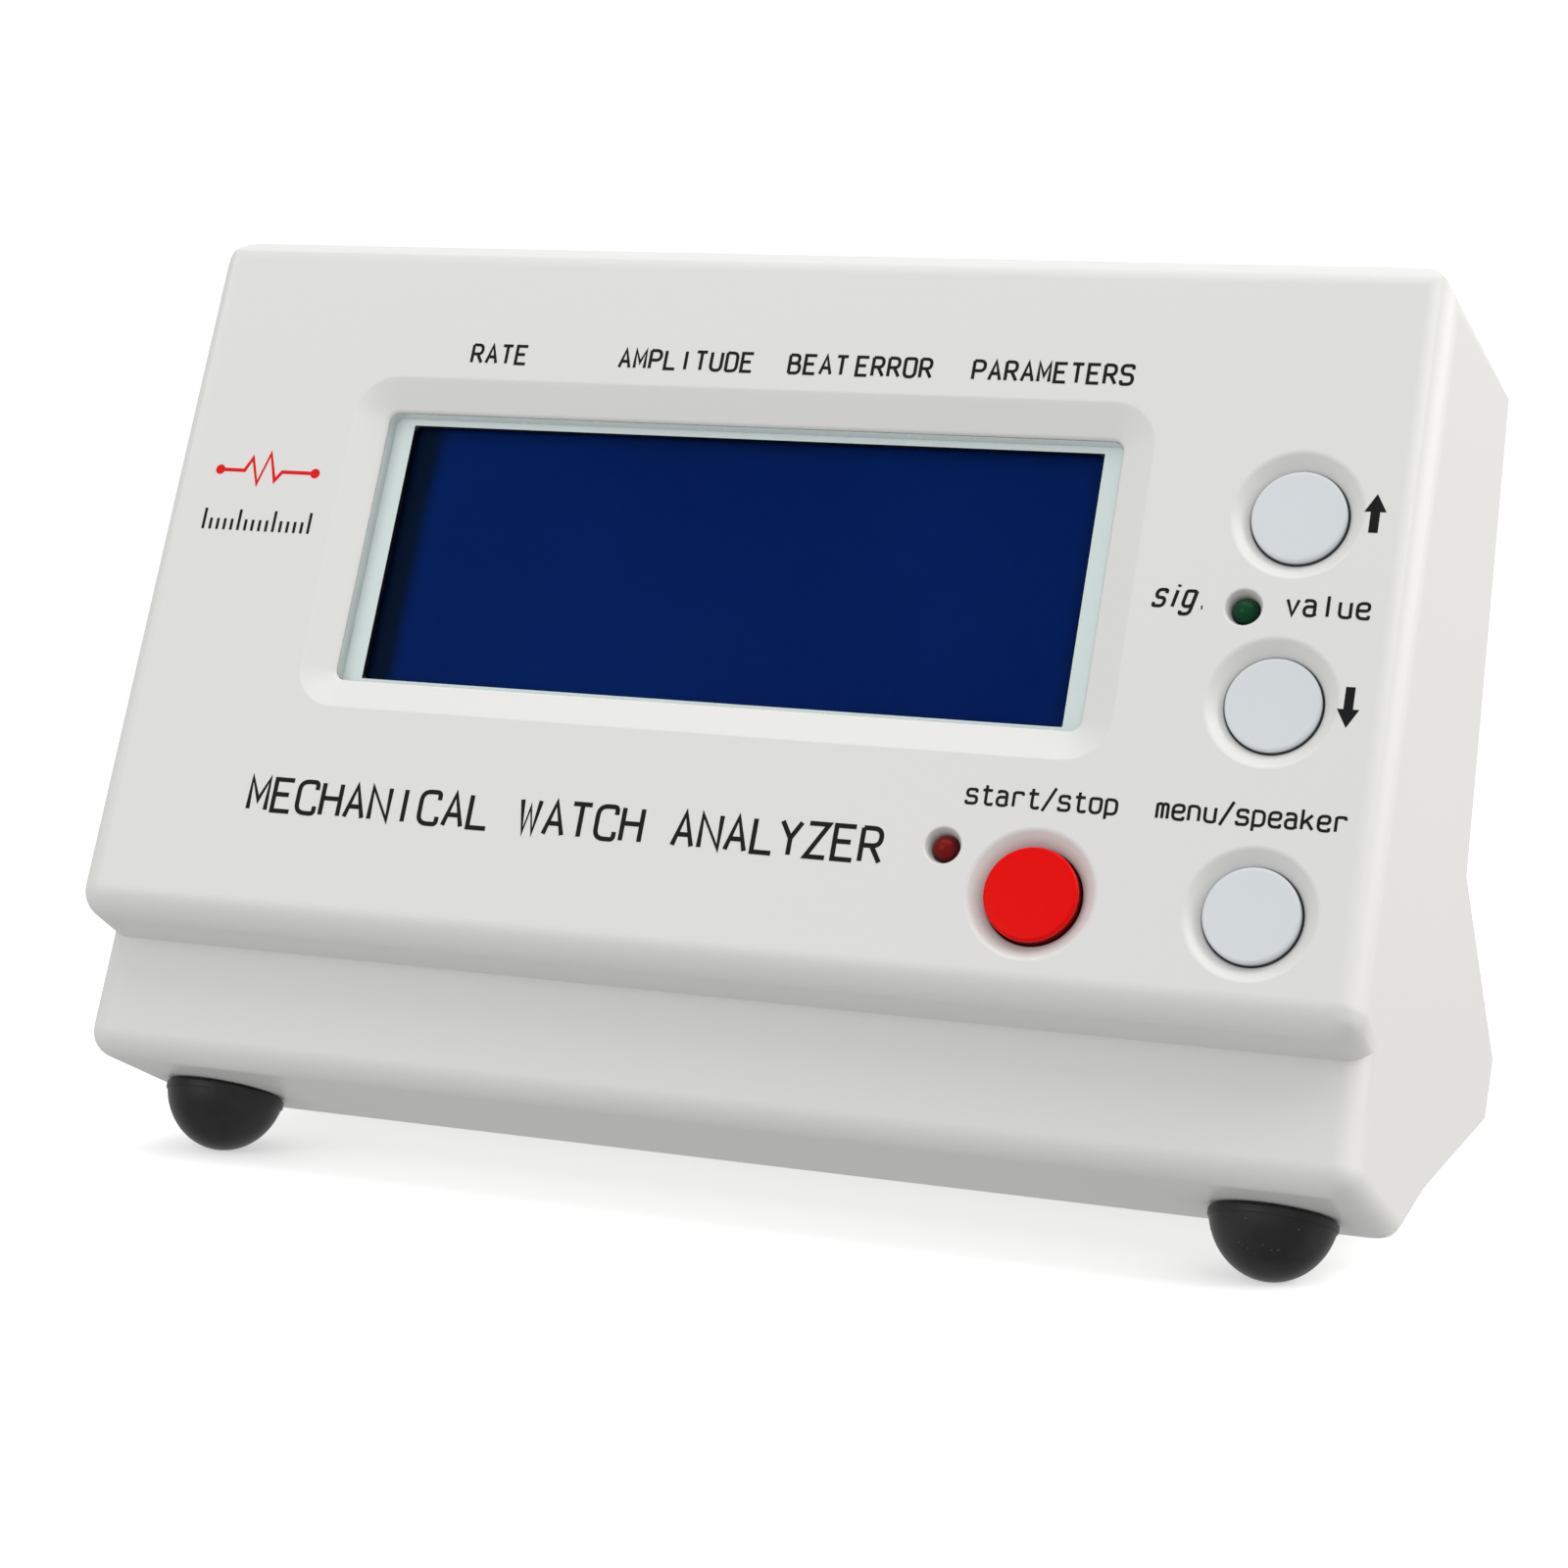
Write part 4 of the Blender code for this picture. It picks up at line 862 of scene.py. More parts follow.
def rear_cover():
    """Bent plate that closes the back, with board pillars, foot pads, holes and speaker slots."""
    mesh = bmesh.new()
    rings = prism(mesh, cover_outline(), WALL + GAP)
    share = mesh.edges.layers.float.new("bevel_weight_edge")
    outer_corners = 5
    for index in range(outer_corners):
        mesh.edges.get((rings[0][index], rings[1][index]))[share] = 0.15
        if index < outer_corners - 1:
            for ring in rings:
                mesh.edges.get((ring[index], ring[index + 1]))[share] = 0.12
    item = mesh_object("back_cover", mesh, PANEL)
    round_marked(item, 4)

    pillars = bmesh.new()
    for centre in MAIN_PILLARS:
        rod(pillars, PILLAR_RADIUS, MAIN_BOARD_BACK + GAP, -WALL / 2, centre, segments=24)
    cut_or_join(item, "UNION", pillars, REAR_WALL)

    pads = bmesh.new()
    for side in (-1, 1):
        centre = (side * FOOT_X, PANEL.translation.y + REAR_FOOT_Y)
        rod(pads, FOOT_RADIUS + GAP, REAR_FOOT_HEIGHT + GAP, REAR_FOOT_HEIGHT + WALL / 2, centre, segments=48)
    cut_or_join(item, "UNION", pads, UNTURNED)

    holes = bmesh.new()
    for radius, centre in ((POWER_HOLE_RADIUS, POWER_SOCKET), (PICKUP_HOLE_RADIUS, PICKUP_SOCKET)):
        section = [(radius, -WALL - GAP), (radius, -0.4), (radius + 1.0, 0.6)]
        turned(holes, soften(section, [0.4]), 48, centre)
    for centre in MAIN_PILLARS:
        rod(holes, PILOT_RADIUS, MAIN_BOARD_BACK, MAIN_BOARD_BACK + PILOT_DEPTH, centre, segments=16)
    cut_or_join(item, "DIFFERENCE", holes, REAR_WALL)

    slots = bmesh.new()
    for index in range(-2, 3):
        middle = index * SLOT_PITCH
        length = 2 * math.sqrt(SLOT_REACH ** 2 - middle ** 2)
        rings = []
        for grow, height in ((0.0, -WALL - GAP), (0.0, -0.35), (0.35, 0.0), (0.7, 0.35)):
            outline = slot_outline(length + 2 * grow, SLOT_WIDTH + 2 * grow)
            rings.append([slots.verts.new((x, middle + y, height)) for x, y in outline])
        loft(slots, rings)
    cut_or_join(item, "DIFFERENCE", slots, SPEAKER)

    screws = bmesh.new()
    for _, _, place in screw_places():
        turned(screws, [(SCREW_HOLE_RADIUS, -WALL - GAP), (SCREW_HOLE_RADIUS, GAP)], 24, place=place)
    cut_or_join(item, "DIFFERENCE", screws, UNTURNED)
    settle(item)
    shade(item)
    keep(item, "ivory_plastic", ["rear_cover"])


def foot(name, place):
    """Rubber dome foot with a soft rim and a moulding groove, worn flat where it meets the table."""
    profile = [(0.0, 0.0), (FOOT_RADIUS - 0.25, 0.0), (FOOT_RADIUS, 0.25), (FOOT_RADIUS, FOOT_RIM - 0.2),
               (FOOT_RADIUS - 0.12, FOOT_RIM)]
    start = math.asin((FOOT_RIM + FOOT_DOME_MIDDLE) / FOOT_DOME_HEIGHT)
    steps = 22
    for step in range(steps):
        angle = start + (math.pi / 2 - start) * step / steps
        height = FOOT_DOME_HEIGHT * math.sin(angle) - FOOT_DOME_MIDDLE
        profile.append((FOOT_DOME_RADIUS * math.cos(angle), height))
    profile.append((0.0, FOOT_DOME_HEIGHT - FOOT_DOME_MIDDLE))
    mesh = bmesh.new()
    turned(mesh, profile, 64)
    back = place.inverted()
    everything = mesh.verts[:] + mesh.edges[:] + mesh.faces[:]
    bmesh.ops.bisect_plane(
        mesh, geom=everything, plane_co=back @ Vector((0.0, 0.0, 0.0)),
        plane_no=back.to_3x3() @ Vector((0.0, 0.0, -1.0)), clear_outer=True)
    bmesh.ops.holes_fill(mesh, edges=mesh.edges[:])
    item = mesh_object(f"{name}_dome", mesh, place)
    shade(item)
    keep(item, "black_rubber", [name])


def feet():
    """Two feet square to the lip in front, and two upright ones under the base."""
    for side, hand in ((-1, "left"), (1, "right")):
        mount = Matrix.Translation((BODY_X + side * FOOT_X, SIDE["lip_front"][0] - GAP, FRONT_FOOT_N))
        foot(f"front_{hand}_foot", PANEL @ mount @ Matrix.Rotation(math.pi / 2, 4, "X"))
        under = Matrix.Translation((side * FOOT_X, PANEL.translation.y + REAR_FOOT_Y, REAR_FOOT_HEIGHT))
        foot(f"rear_{hand}_foot", under @ Matrix.Rotation(math.pi, 4, "X"))


# ---------------------------------------------------------------------------------------------------
# display and controls

def window_border():
    """The pale border printed on the back of the window, round the clear area."""
    mesh = bmesh.new()
    back, front = WINDOW_BACK - 0.07, WINDOW_BACK - 0.02
    outer, inner = rounded_rectangle(WINDOW_SIZE, 1.2), rounded_rectangle(VIEW_SIZE, 0.12)
    rings = []
    for outline, height in ((outer, back), (outer, front), (inner, front), (inner, back)):
        rings.append([mesh.verts.new((x, y, height)) for x, y in outline])
    loft(mesh, rings, closed=True)
    item = mesh_object("window_border", mesh, PANEL)
    keep(item, "clear_acrylic", finish=PALE_INK_WITH_PAINTED_GLOW)


def button(name, centre):
    """Push-button cap with a soft rim, hollow from behind, and a collar behind the panel."""
    x, u, top = centre
    front = -WALL - GAP
    back = front - COLLAR_THICKNESS
    wall, roof = CAP_RADIUS - CAP_THICKNESS, top - CAP_THICKNESS
    outside = [(wall, top), (CAP_RADIUS, top), (CAP_RADIUS, front), (COLLAR_RADIUS, front)]
    profile = [(0.0, top)] + soften(outside, [CAP_ROUNDING, COLLAR_ROUNDING], 8)
    profile += [(COLLAR_RADIUS, back), (wall, back), (wall, roof), (CAP_POST_RADIUS, roof),
                (CAP_POST_RADIUS, back), (0.0, back)]
    slot = "red_button" if name == "start_stop_button" else "white_button"
    place = PANEL @ Matrix.Translation((x, u, 0.0))
    lathe_piece(f"{name}_face", profile, place, slot, [f"{name}_cap"], body=name, segments=96)


def lamp(name, centre):
    """Small clear-resin lamp with a round top and a rim at its foot, in its hole."""
    base = LAMP_TOP - LAMP_HEIGHT
    rim = base + LAMP_RIM_THICKNESS
    steps = 12
    angles = [math.pi / 2 * step / steps for step in range(1, steps + 1)]
    dome = [(LAMP_RADIUS * math.sin(a), LAMP_TOP - LAMP_RADIUS * (1 - math.cos(a))) for a in angles]
    profile = [(0.0, LAMP_TOP), *dome, (LAMP_RADIUS, rim), (LAMP_RIM_RADIUS, rim), (LAMP_RIM_RADIUS, base),
               (0.0, base)]
    slot = "green_lens" if name == "signal_lamp" else "red_lens"
    place = PANEL @ Matrix.Translation((*centre, 0.0))
    lathe_piece(f"{name}_lens", profile, place, slot, [name], segments=48)


# ---------------------------------------------------------------------------------------------------
# printing on the panel

# Letters as strokes in a box one wide and one high; a stroke that starts with ~ has round corners.
LETTERS = {
    "A": "0,0 .5,1 1,0|.19,.34 .81,.34",
    "B": "0,0 0,1|~0,1 .88,1 .88,.54 0,.54|~0,.54 1,.54 1,0 0,0",
    "C": "~1,.76 1,1 0,1 0,0 1,0 1,.24",
    "D": "0,0 0,1|~0,1 1,1 1,0 0,0",
    "E": "1,1 0,1 0,0 1,0|0,.53 .82,.53",
    "G": "~1,.78 1,1 0,1 0,0 1,0 1,.3|1,.28 1,.45 .52,.45",
    "H": "0,0 0,1|1,0 1,1|0,.53 1,.53",
    "I": ".5,0 .5,1",
    "L": "0,1 0,0 1,0",
    "M": "0,0 0,1 .5,.3 1,1 1,0",
    "N": "0,0 0,1 1,0 1,1",
    "O": "~.5,1 0,1 0,0 1,0 1,1 .5,1",
    "P": "0,0 0,1|~0,1 1,1 1,.46 0,.46",
    "R": "0,0 0,1|~0,1 .95,1 .95,.48 0,.48|.5,.48 1,0",
    "S": "~1,.8 1,1 0,1 0,.53 1,.53 1,0 0,0 0,.2",
    "T": "0,1 1,1|.5,1 .5,0",
    "U": "~0,1 0,0 1,0 1,1",
    "W": "0,1 .24,0 .5,.8 .76,0 1,1",
    "Y": "0,1 .5,.5 1,1|.5,.5 .5,0",
    "Z": "0,1 1,1 0,0 1,0",
    "/": "-.05,-.12 1.05,1.12",
    "a": "~.1,.62 .1,.74 .9,.74 .9,.3|.9,.42 .9,.12 1,0|~.9,.44 0,.44 0,0 .9,0 .9,.3",
    "e": "~.02,.38 1,.38 1,.74 0,.74 0,0 1,0 1,.16",
    "g": "~.5,.74 0,.74 0,.04 .95,.04 .95,.74 .5,.74|~.98,.74 .95,-.3 0,-.3 0,-.16",
    "i": ".5,0 .5,.74|.5,.9 .5,1",
    "k": "0,0 0,1|.9,.74 0,.26|.38,.45 1,0",
    "l": ".5,0 .5,1",
    "m": "0,0 0,.74|~0,.5 0,.74 .5,.74 .5,0|~.5,.5 .5,.74 1,.74 1,0",
    "n": "0,0 0,.74|~0,.45 0,.74 .95,.74 .95,0",
    "o": "~.5,.74 0,.74 0,0 1,0 1,.74 .5,.74",
    "p": "0,.74 0,-.28|~0,.74 1,.74 1,0 0,0",
    "r": ".1,0 .1,.74|~.1,.45 .1,.74 .95,.74 .95,.6",
    "s": "~.93,.58 .93,.74 .03,.74 .03,.38 1,.38 1,0 0,0 0,.16",
    "t": "~.38,1 .38,0 1,0 1,.1|.02,.74 .95,.74",
    "u": "~0,.74 0,0 .95,0 .95,.3|.95,.74 .95,0",
    "v": "0,.74 .5,0 1,.74",
    ".": ".4,0 .6,0",
}
INK_TOP, INK_ROOT, INK_STEP = 0.025, -0.05, 0.004      # crossing strokes differ in height by the step


def stroke_points(stroke, width, height):
    """Corner points of one stroke, with its corners rounded where it asks for that."""
    round_corners = stroke.startswith("~")
    pairs = [tuple(float(value) for value in pair.split(",")) for pair in stroke.lstrip("~").split()]
    points = [(x * width, y * height) for x, y in pairs]
    if not round_corners:
        return points
    reach = 0.55 * width
    return soften(points, [reach] * (len(points) - 2), 6)


def draw_stroke(mesh, points, weight, top):
    """A thin closed ribbon of ink along a line of points, with mitred joints."""
    points = [Vector(point) for point in points]
    steps = [b - a for a, b in zip(points, points[1:]) if (b - a).length > 1e-6]
    points = [points[0]] + [b for a, b in zip(points, points[1:]) if (b - a).length > 1e-6]
    sides = [Vector((-step.y, step.x)).normalized() for step in steps]
    rings = []
    for index, point in enumerate(points):
        before = sides[max(index - 1, 0)]
        after = sides[min(index, len(sides) - 1)]
        middle = (before + after).normalized()
        reach = weight / 2 / max(middle.dot(after), 0.5)
        left, right = point + middle * reach, point - middle * reach
        rings.append([mesh.verts.new((p.x, p.y, z)) for p, z in (
            (left, top), (right, top), (right, INK_ROOT), (left, INK_ROOT))])
    loft(mesh, rings)


def lettering(mesh, words, start, pitch, width, height, weight, slant=0.0):
    """Draw words from strokes; start is the lower left of the first letter's box."""
    layer = 0
    for cell, letter in enumerate(words):
        if letter == " ":
            continue
        for stroke in LETTERS[letter].split("|"):
            points = stroke_points(stroke, width, height)
            placed = [(start[0] + cell * pitch + x + slant * y, start[1] + y) for x, y in points]
            draw_stroke(mesh, placed, weight, INK_TOP + INK_STEP * (layer % 5))
            layer += 1


def arrow(mesh, x, low, high, up):
    """Solid arrow with a square shaft."""
    head, wide, shaft = 2.5, 1.45, 0.62
    tip, tail = (high, low) if up else (low, high)
    neck = tip - head if up else tip + head
    outline = [(x, tip), (x - wide, neck), (x - shaft, neck), (x - shaft, tail), (x + shaft, tail),
               (x + shaft, neck), (x + wide, neck)]
    plate(mesh, outline if up else outline[::-1], INK_ROOT, INK_TOP)


def panel_legends():
    """Every black legend on the panel."""
    mesh = bmesh.new()
    small = {"pitch": 2.32, "width": 1.55, "height": 2.72, "weight": 0.46}
    headings = (("RATE", -42.8), ("AMPLITUDE", -19.6), ("PARAMETERS", 33.0), ("BEAT", 6.1), ("ERROR", 16.1))
    for words, x in headings:
        lettering(mesh, words, (x, 27.85), **small)
    lettering(mesh, "MECHANICAL WATCH ANALYZER", (-63.1, -41.2), 3.82, 2.75, 4.6, 0.66)
    lower = {"pitch": 2.1, "width": 1.4, "height": 2.6, "weight": 0.4}
    lettering(mesh, "start/stop", (41.9, -32.1), **lower)
    lettering(mesh, "menu/speaker", (67.6, -32.1), **lower)
    lettering(mesh, "value", (80.7, -3.5), 2.3, 1.5, 2.8, 0.42)
    lettering(mesh, "sig", (62.9, -3.3), 1.95, 1.35, 3.1, 0.46, slant=0.22)
    lettering(mesh, ".", (69.0, -3.2), 1.0, 1.0, 1.0, 0.55)
    arrow(mesh, 90.5, 8.3, 13.7, True)
    arrow(mesh, 90.4, -18.3, -12.8, False)
    item = mesh_object("panel_legends", mesh, PANEL)
    keep(item, "black_plastic", finish=BLACK_INK)


def panel_emblem():
    """A plain red pulse line with a dot at each end."""
    mesh = bmesh.new()
    line, dot_radius = 9.6, 0.75
    pulse = [(-79.0, line), (-75.6, line), (-74.6, 11.6), (-73.2, 7.6), (-71.8, 12.4), (-70.4, 8.2), (-69.4, line),
             (-64.6, line)]
    draw_stroke(mesh, pulse, 0.55, INK_TOP)
    for x in (-79.6, -64.0):
        plate(mesh, circle(dot_radius, (x, line), 24), INK_ROOT, INK_TOP + 0.006)
    item = mesh_object("panel_emblem", mesh, PANEL)
    keep(item, "red_button", finish=RED_INK)


# ---------------------------------------------------------------------------------------------------
# what repeats: built with geometry nodes

class Growth(Tree):
    """A geometry node tree with named sizes, which ends as one real mesh with its finish."""

    def __init__(self, name, sizes):
        super().__init__(bpy.data.node_groups.new(name, "GeometryNodeTree"))
        face = self.nodes.interface
        face.new_socket("Places", in_out="INPUT", socket_type="NodeSocketGeometry")
        face.new_socket("Mesh", in_out="OUTPUT", socket_type="NodeSocketGeometry")
        for label in sizes:
            face.new_socket(label, in_out="INPUT", socket_type="NodeSocketFloat")
        self.sizes = sizes
        self.source = self.nodes.nodes.new("NodeGroupInput")

    def size(self, label):
        """An input of the tree by its name."""
        return Wire(self, self.source.outputs[label])

    def vector(self, x=0.0, y=0.0, z=0.0):
        """Three numbers as a vector."""
        return self.add("ShaderNodeCombineXYZ", None, {0: x, 1: y, 2: z})

    def box(self, x, y, z):
        """A box round the origin from its three sizes."""
        return self.add("GeometryNodeMeshCube", None, {"Size": self.vector(x, y, z)})

    def raised(self, shape, height):
        """A shape moved up by a height."""
        offset = self.vector(z=height)
        return self.add("GeometryNodeTransform", None, {"Geometry": shape, "Translation": offset})

    def less(self, shape, tool):
        """A shape with another cut out of it."""
        settings = {"operation": "DIFFERENCE", "solver": "EXACT"}
        return self.add("GeometryNodeMeshBoolean", settings, {0: shape, 1: tool})

    def joined(self, *parts):
        """Several shapes as one."""
        node = self.nodes.nodes.new("GeometryNodeJoinGeometry")
        for part in parts:
            self.nodes.links.new(part.socket, node.inputs[0])
        return Wire(self, node.outputs[0])

    def on_places(self, shape):
        """The shape on every point of the carrier, its z along the point's axis, turned by the point's spin."""
        axis = self.add("GeometryNodeInputNamedAttribute", {"data_type": "FLOAT_VECTOR"}, {"Name": "axis"})
        spin = self.add("GeometryNodeInputNamedAttribute", {"data_type": "FLOAT"}, {"Name": "spin"})
        upright = self.add("FunctionNodeAlignRotationToVector", {"axis": "Z"}, {"Vector": axis})
        turn = self.add("FunctionNodeAxisAngleToRotation", None, {"Axis": (0.0, 0.0, 1.0), "Angle": spin})
        both = self.add("FunctionNodeRotateRotation", {"rotation_space": "LOCAL"}, {0: upright, 1: turn})
        return self.add("GeometryNodeInstanceOnPoints", None, {
            "Points": self.size("Places"), "Instance": shape, "Rotation": both})

    def grow(self, name, places, shape, finish):
        """Close the tree with the shape on every place, run it, and give the object with its plain mesh."""
        real = self.add("GeometryNodeRealizeInstances", None, {0: self.on_places(shape)})
        painted = self.add("GeometryNodeSetMaterial", None, {0: real, "Material": finish})
        self.add("NodeGroupOutput", None, {0: painted})
        item = carrier_of(name, places)
        step = item.modifiers.new("Growth", "NODES")
        step.node_group = self.nodes
        inputs = [socket for socket in self.nodes.interface.items_tree if socket.in_out == "INPUT"]
        identifiers = {socket.name: socket.identifier for socket in inputs}
        for label, value in self.sizes.items():
            step[identifiers[label]] = value
        return settle(item)


def carrier_of(name, places):
    """Loose points in metres with the axis and the spin that their shapes take; places are frames."""
    data = bpy.data.meshes.new(name)
    data.from_pydata([place.translation * MM for place, _ in places], [], [])
    axis = data.attributes.new("axis", "FLOAT_VECTOR", "POINT")
    axis.data.foreach_set("vector", [value for place, _ in places for value in place.col[2][:3]])
    spin = data.attributes.new("spin", "FLOAT", "POINT")
    spin.data.foreach_set("value", [turn for _, turn in places])
    item = bpy.data.objects.new(name, data)
    bpy.context.scene.collection.objects.link(item)
    return item


def screw_set(name, places, sizes, replaces=()):
    """Pan-head screws with a cross recess, one on each place."""
    growth = Growth(f"{name}_tree", sizes)
    radius, rise, lift = growth.size("Head radius"), growth.size("Head rise"), growth.size("Head lift")
    ball = growth.add("GeometryNodeMeshUVSphere", None, {"Segments": 40, "Rings": 24, "Radius": 1.0})
    flatter = growth.add("GeometryNodeTransform", None, {
        "Geometry": ball, "Scale": growth.vector(radius, radius, rise * 1.15)})
    dome = growth.less(flatter, growth.raised(growth.box(radius * 3, radius * 3, rise * 2), rise * -1))
    blade = growth.box(radius * 1.25, growth.size("Recess width"), rise)
    across = growth.add("GeometryNodeTransform", None, {"Geometry": blade, "Rotation": (0.0, 0.0, math.pi / 2)})
    head = growth.less(dome, growth.raised(growth.joined(blade, across), rise))
    length = growth.size("Shank length")
    shank = growth.add("GeometryNodeMeshCylinder", None, {
        "Vertices": 24, "Radius": growth.size("Shank radius"), "Depth": length})
    whole = growth.raised(growth.joined(head, growth.raised(shank, length * -0.5)), lift)
    item = growth.grow(name, places, whole, FINISHES["bright_steel"])
    shade(item)
    keep(item, "bright_steel", replaces)


def screws():
    """Cover screws at the back, and the small ones that hold the boards to their pillars."""
    spins = (0.3, 1.1, 0.75, 0.1, 1.35, 0.55)
    rows = list(screw_places())
    places = [(place, spin) for (_, _, place), spin in zip(rows, spins)]
    cover = {"Head radius": 2.8 * MM, "Head rise": 1.9 * MM, "Head lift": GAP * MM, "Recess width": 0.75 * MM,
             "Shank radius": 1.3 * MM, "Shank length": 11.3 * MM}
    screw_set("cover_screws", places, cover, [name for name, _, _ in rows])

    boards = []
    for index, centre in enumerate(DISPLAY_PILLARS + BUTTON_PILLARS):
        behind = PANEL @ Matrix.Translation((*centre, BOARD_FRONT - BOARD_THICKNESS))
        boards.append((behind @ Matrix.Rotation(math.pi, 4, "X"), 0.37 * index))
    for index, centre in enumerate(MAIN_PILLARS):
        inner = REAR_WALL @ Matrix.Translation((*centre, MAIN_BOARD_FRONT))
        boards.append((inner @ Matrix.Rotation(math.pi, 4, "X"), 0.5 * index))
    small = {"Head radius": 2.4 * MM, "Head rise": 1.6 * MM, "Head lift": 0.05 * MM, "Recess width": 0.6 * MM,
             "Shank radius": 1.2 * MM, "Shank length": 6.0 * MM}
    screw_set("board_screws", boards, small)


def tick_scale():
    """A short printed scale of even ticks, longer at every fifth one, under the emblem."""
    count, pitch, long_step = 16, 1.15, 5
    left, foot_line = -80.4, 0.3
    width, thickness = 0.42, 0.06
    for name, is_long, length in (("minor", False, 1.7), ("major", True, 3.2)):
        places = [(PANEL @ Matrix.Translation((left + i * pitch, foot_line + length / 2, INK_TOP / 2)), 0.0)
                  for i in range(count) if (i % long_step == 0) == is_long]
        growth = Growth(f"{name}_tick_tree", {"Tick width": width * MM, "Tick length": length * MM})
        tick = growth.box(growth.size("Tick width"), growth.size("Tick length"), thickness * MM)
        item = growth.grow(f"{name}_ticks", places, tick, BLACK_INK)
        keep(item, "black_plastic", finish=BLACK_INK)


def chip_legs():
    """Tinned legs down both sides of the chips, standing on the main board."""
    rows = (                    # middle on the main board, rows apart, legs in a row, pitch
        ((0.0, -6.0), 14.8, 11, 1.0),
        ((-40.0, -6.0), 7.4, 4, 2.2),
        ((20.0, -12.0), 7.4, 4, 2.2),
    )
    turned_over = Matrix.Rotation(math.pi, 4, "X")
    places = []
    for (x, y), apart, count, pitch in rows:
        for side in (-1, 1):
            for index in range(count):
                spot = (x + (index - (count - 1) / 2) * pitch, y + side * apart / 2, MAIN_BOARD_FRONT - GAP / 2)
                places.append((REAR_WALL @ Matrix.Translation(spot) @ turned_over, 0.0))
    growth = Growth("leg_tree", {
        "Leg width": 0.5 * MM, "Leg height": 1.1 * MM, "Foot length": 0.9 * MM, "Foot thickness": 0.16 * MM})
    width, height = growth.size("Leg width"), growth.size("Leg height")
    upright = growth.raised(growth.box(width, width, height), height * 0.5)
    pad = growth.box(width, growth.size("Foot length"), growth.size("Foot thickness"))
    item = growth.grow("chip_legs", places, growth.joined(upright, pad), FINISHES["bright_steel"])
    keep(item, "bright_steel")


# ---------------------------------------------------------------------------------------------------
# sockets and speaker

def sockets():
    """Power socket, pickup socket and its insert, with soft rims and real bores."""
    board, shoulder = MAIN_BOARD_BACK + GAP, -WALL - GAP
    power = REAR_WALL @ Matrix.Translation((*POWER_SOCKET, 0.0))
    bore, depth = POWER_BORE
    mouth, face = -0.6, 0.4
    body = [(0.0, board), (POWER_SHOULDER_RADIUS, board), (POWER_SHOULDER_RADIUS, shoulder),
            (POWER_SNOUT_RADIUS, shoulder)]
    snout = [(POWER_SNOUT_RADIUS, mouth), (POWER_SNOUT_RADIUS, face), (bore, face), (bore, -depth)]
    body += soften(snout, [0.25, 0.25]) + [(0.0, -depth)]
    lathe_piece("power_socket_body", body, power, "black_plastic", ["power_socket"])
    pin_radius, pin_foot = 1.0, GAP - depth
    pin = soften([(pin_radius, pin_foot), (pin_radius, mouth), (0.0, mouth)], [0.5])
    lathe_piece("power_socket_post", pin, power, "bright_steel", ["power_socket_pin"], segments=32)

    pickup = REAR_WALL @ Matrix.Translation((*PICKUP_SOCKET, 0.0))
    bore, depth = PICKUP_BORE
    turns, groove, low, high = 10, 0.18, -7.4, 0.1
    pitch = (high - low) / turns
    thread = []
    for index in range(turns):
        thread += [(bore, high - index * pitch), (bore + groove, high - (index + 0.5) * pitch)]
    mouth, face = -0.5, 0.6
    shell = [(0.0, board), (PICKUP_SHOULDER_RADIUS, board), (PICKUP_SHOULDER_RADIUS, shoulder),
             (PICKUP_SHELL_RADIUS, shoulder)]
    collar = [(PICKUP_SHELL_RADIUS, mouth), (PICKUP_SHELL_RADIUS, face), (bore, face), (bore, high + 0.05)]
    shell += soften(collar, [0.3, 0.3]) + thread + [(bore, -depth), (0.0, -depth)]
    lathe_piece("pickup_socket_shell", shell, pickup, "bright_steel", ["pickup_socket"], segments=72)

    core_radius, core_foot, core_face = 3.9, GAP - depth, -0.6
    mesh = bmesh.new()
    outline = [(0.0, core_foot), (core_radius, core_foot), (core_radius, core_face), (0.0, core_face)]
    turned(mesh, soften(outline, [0.0, 0.3]), 48)
    core = mesh_object("pickup_socket_core", mesh, pickup)
    contacts = bmesh.new()
    contact_count, contact_circle, contact_radius = 4, 1.7, 0.5
    for corner in range(contact_count):
        angle = (corner + 0.5) * math.tau / contact_count
        centre = (contact_circle * math.cos(angle), contact_circle * math.sin(angle))
        rod(contacts, contact_radius, -5.0, 0.0, centre, segments=20)
    cut_or_join(core, "DIFFERENCE", contacts, pickup)
    settle(core)
    shade(core)
    keep(core, "black_plastic", ["pickup_socket_insert"])


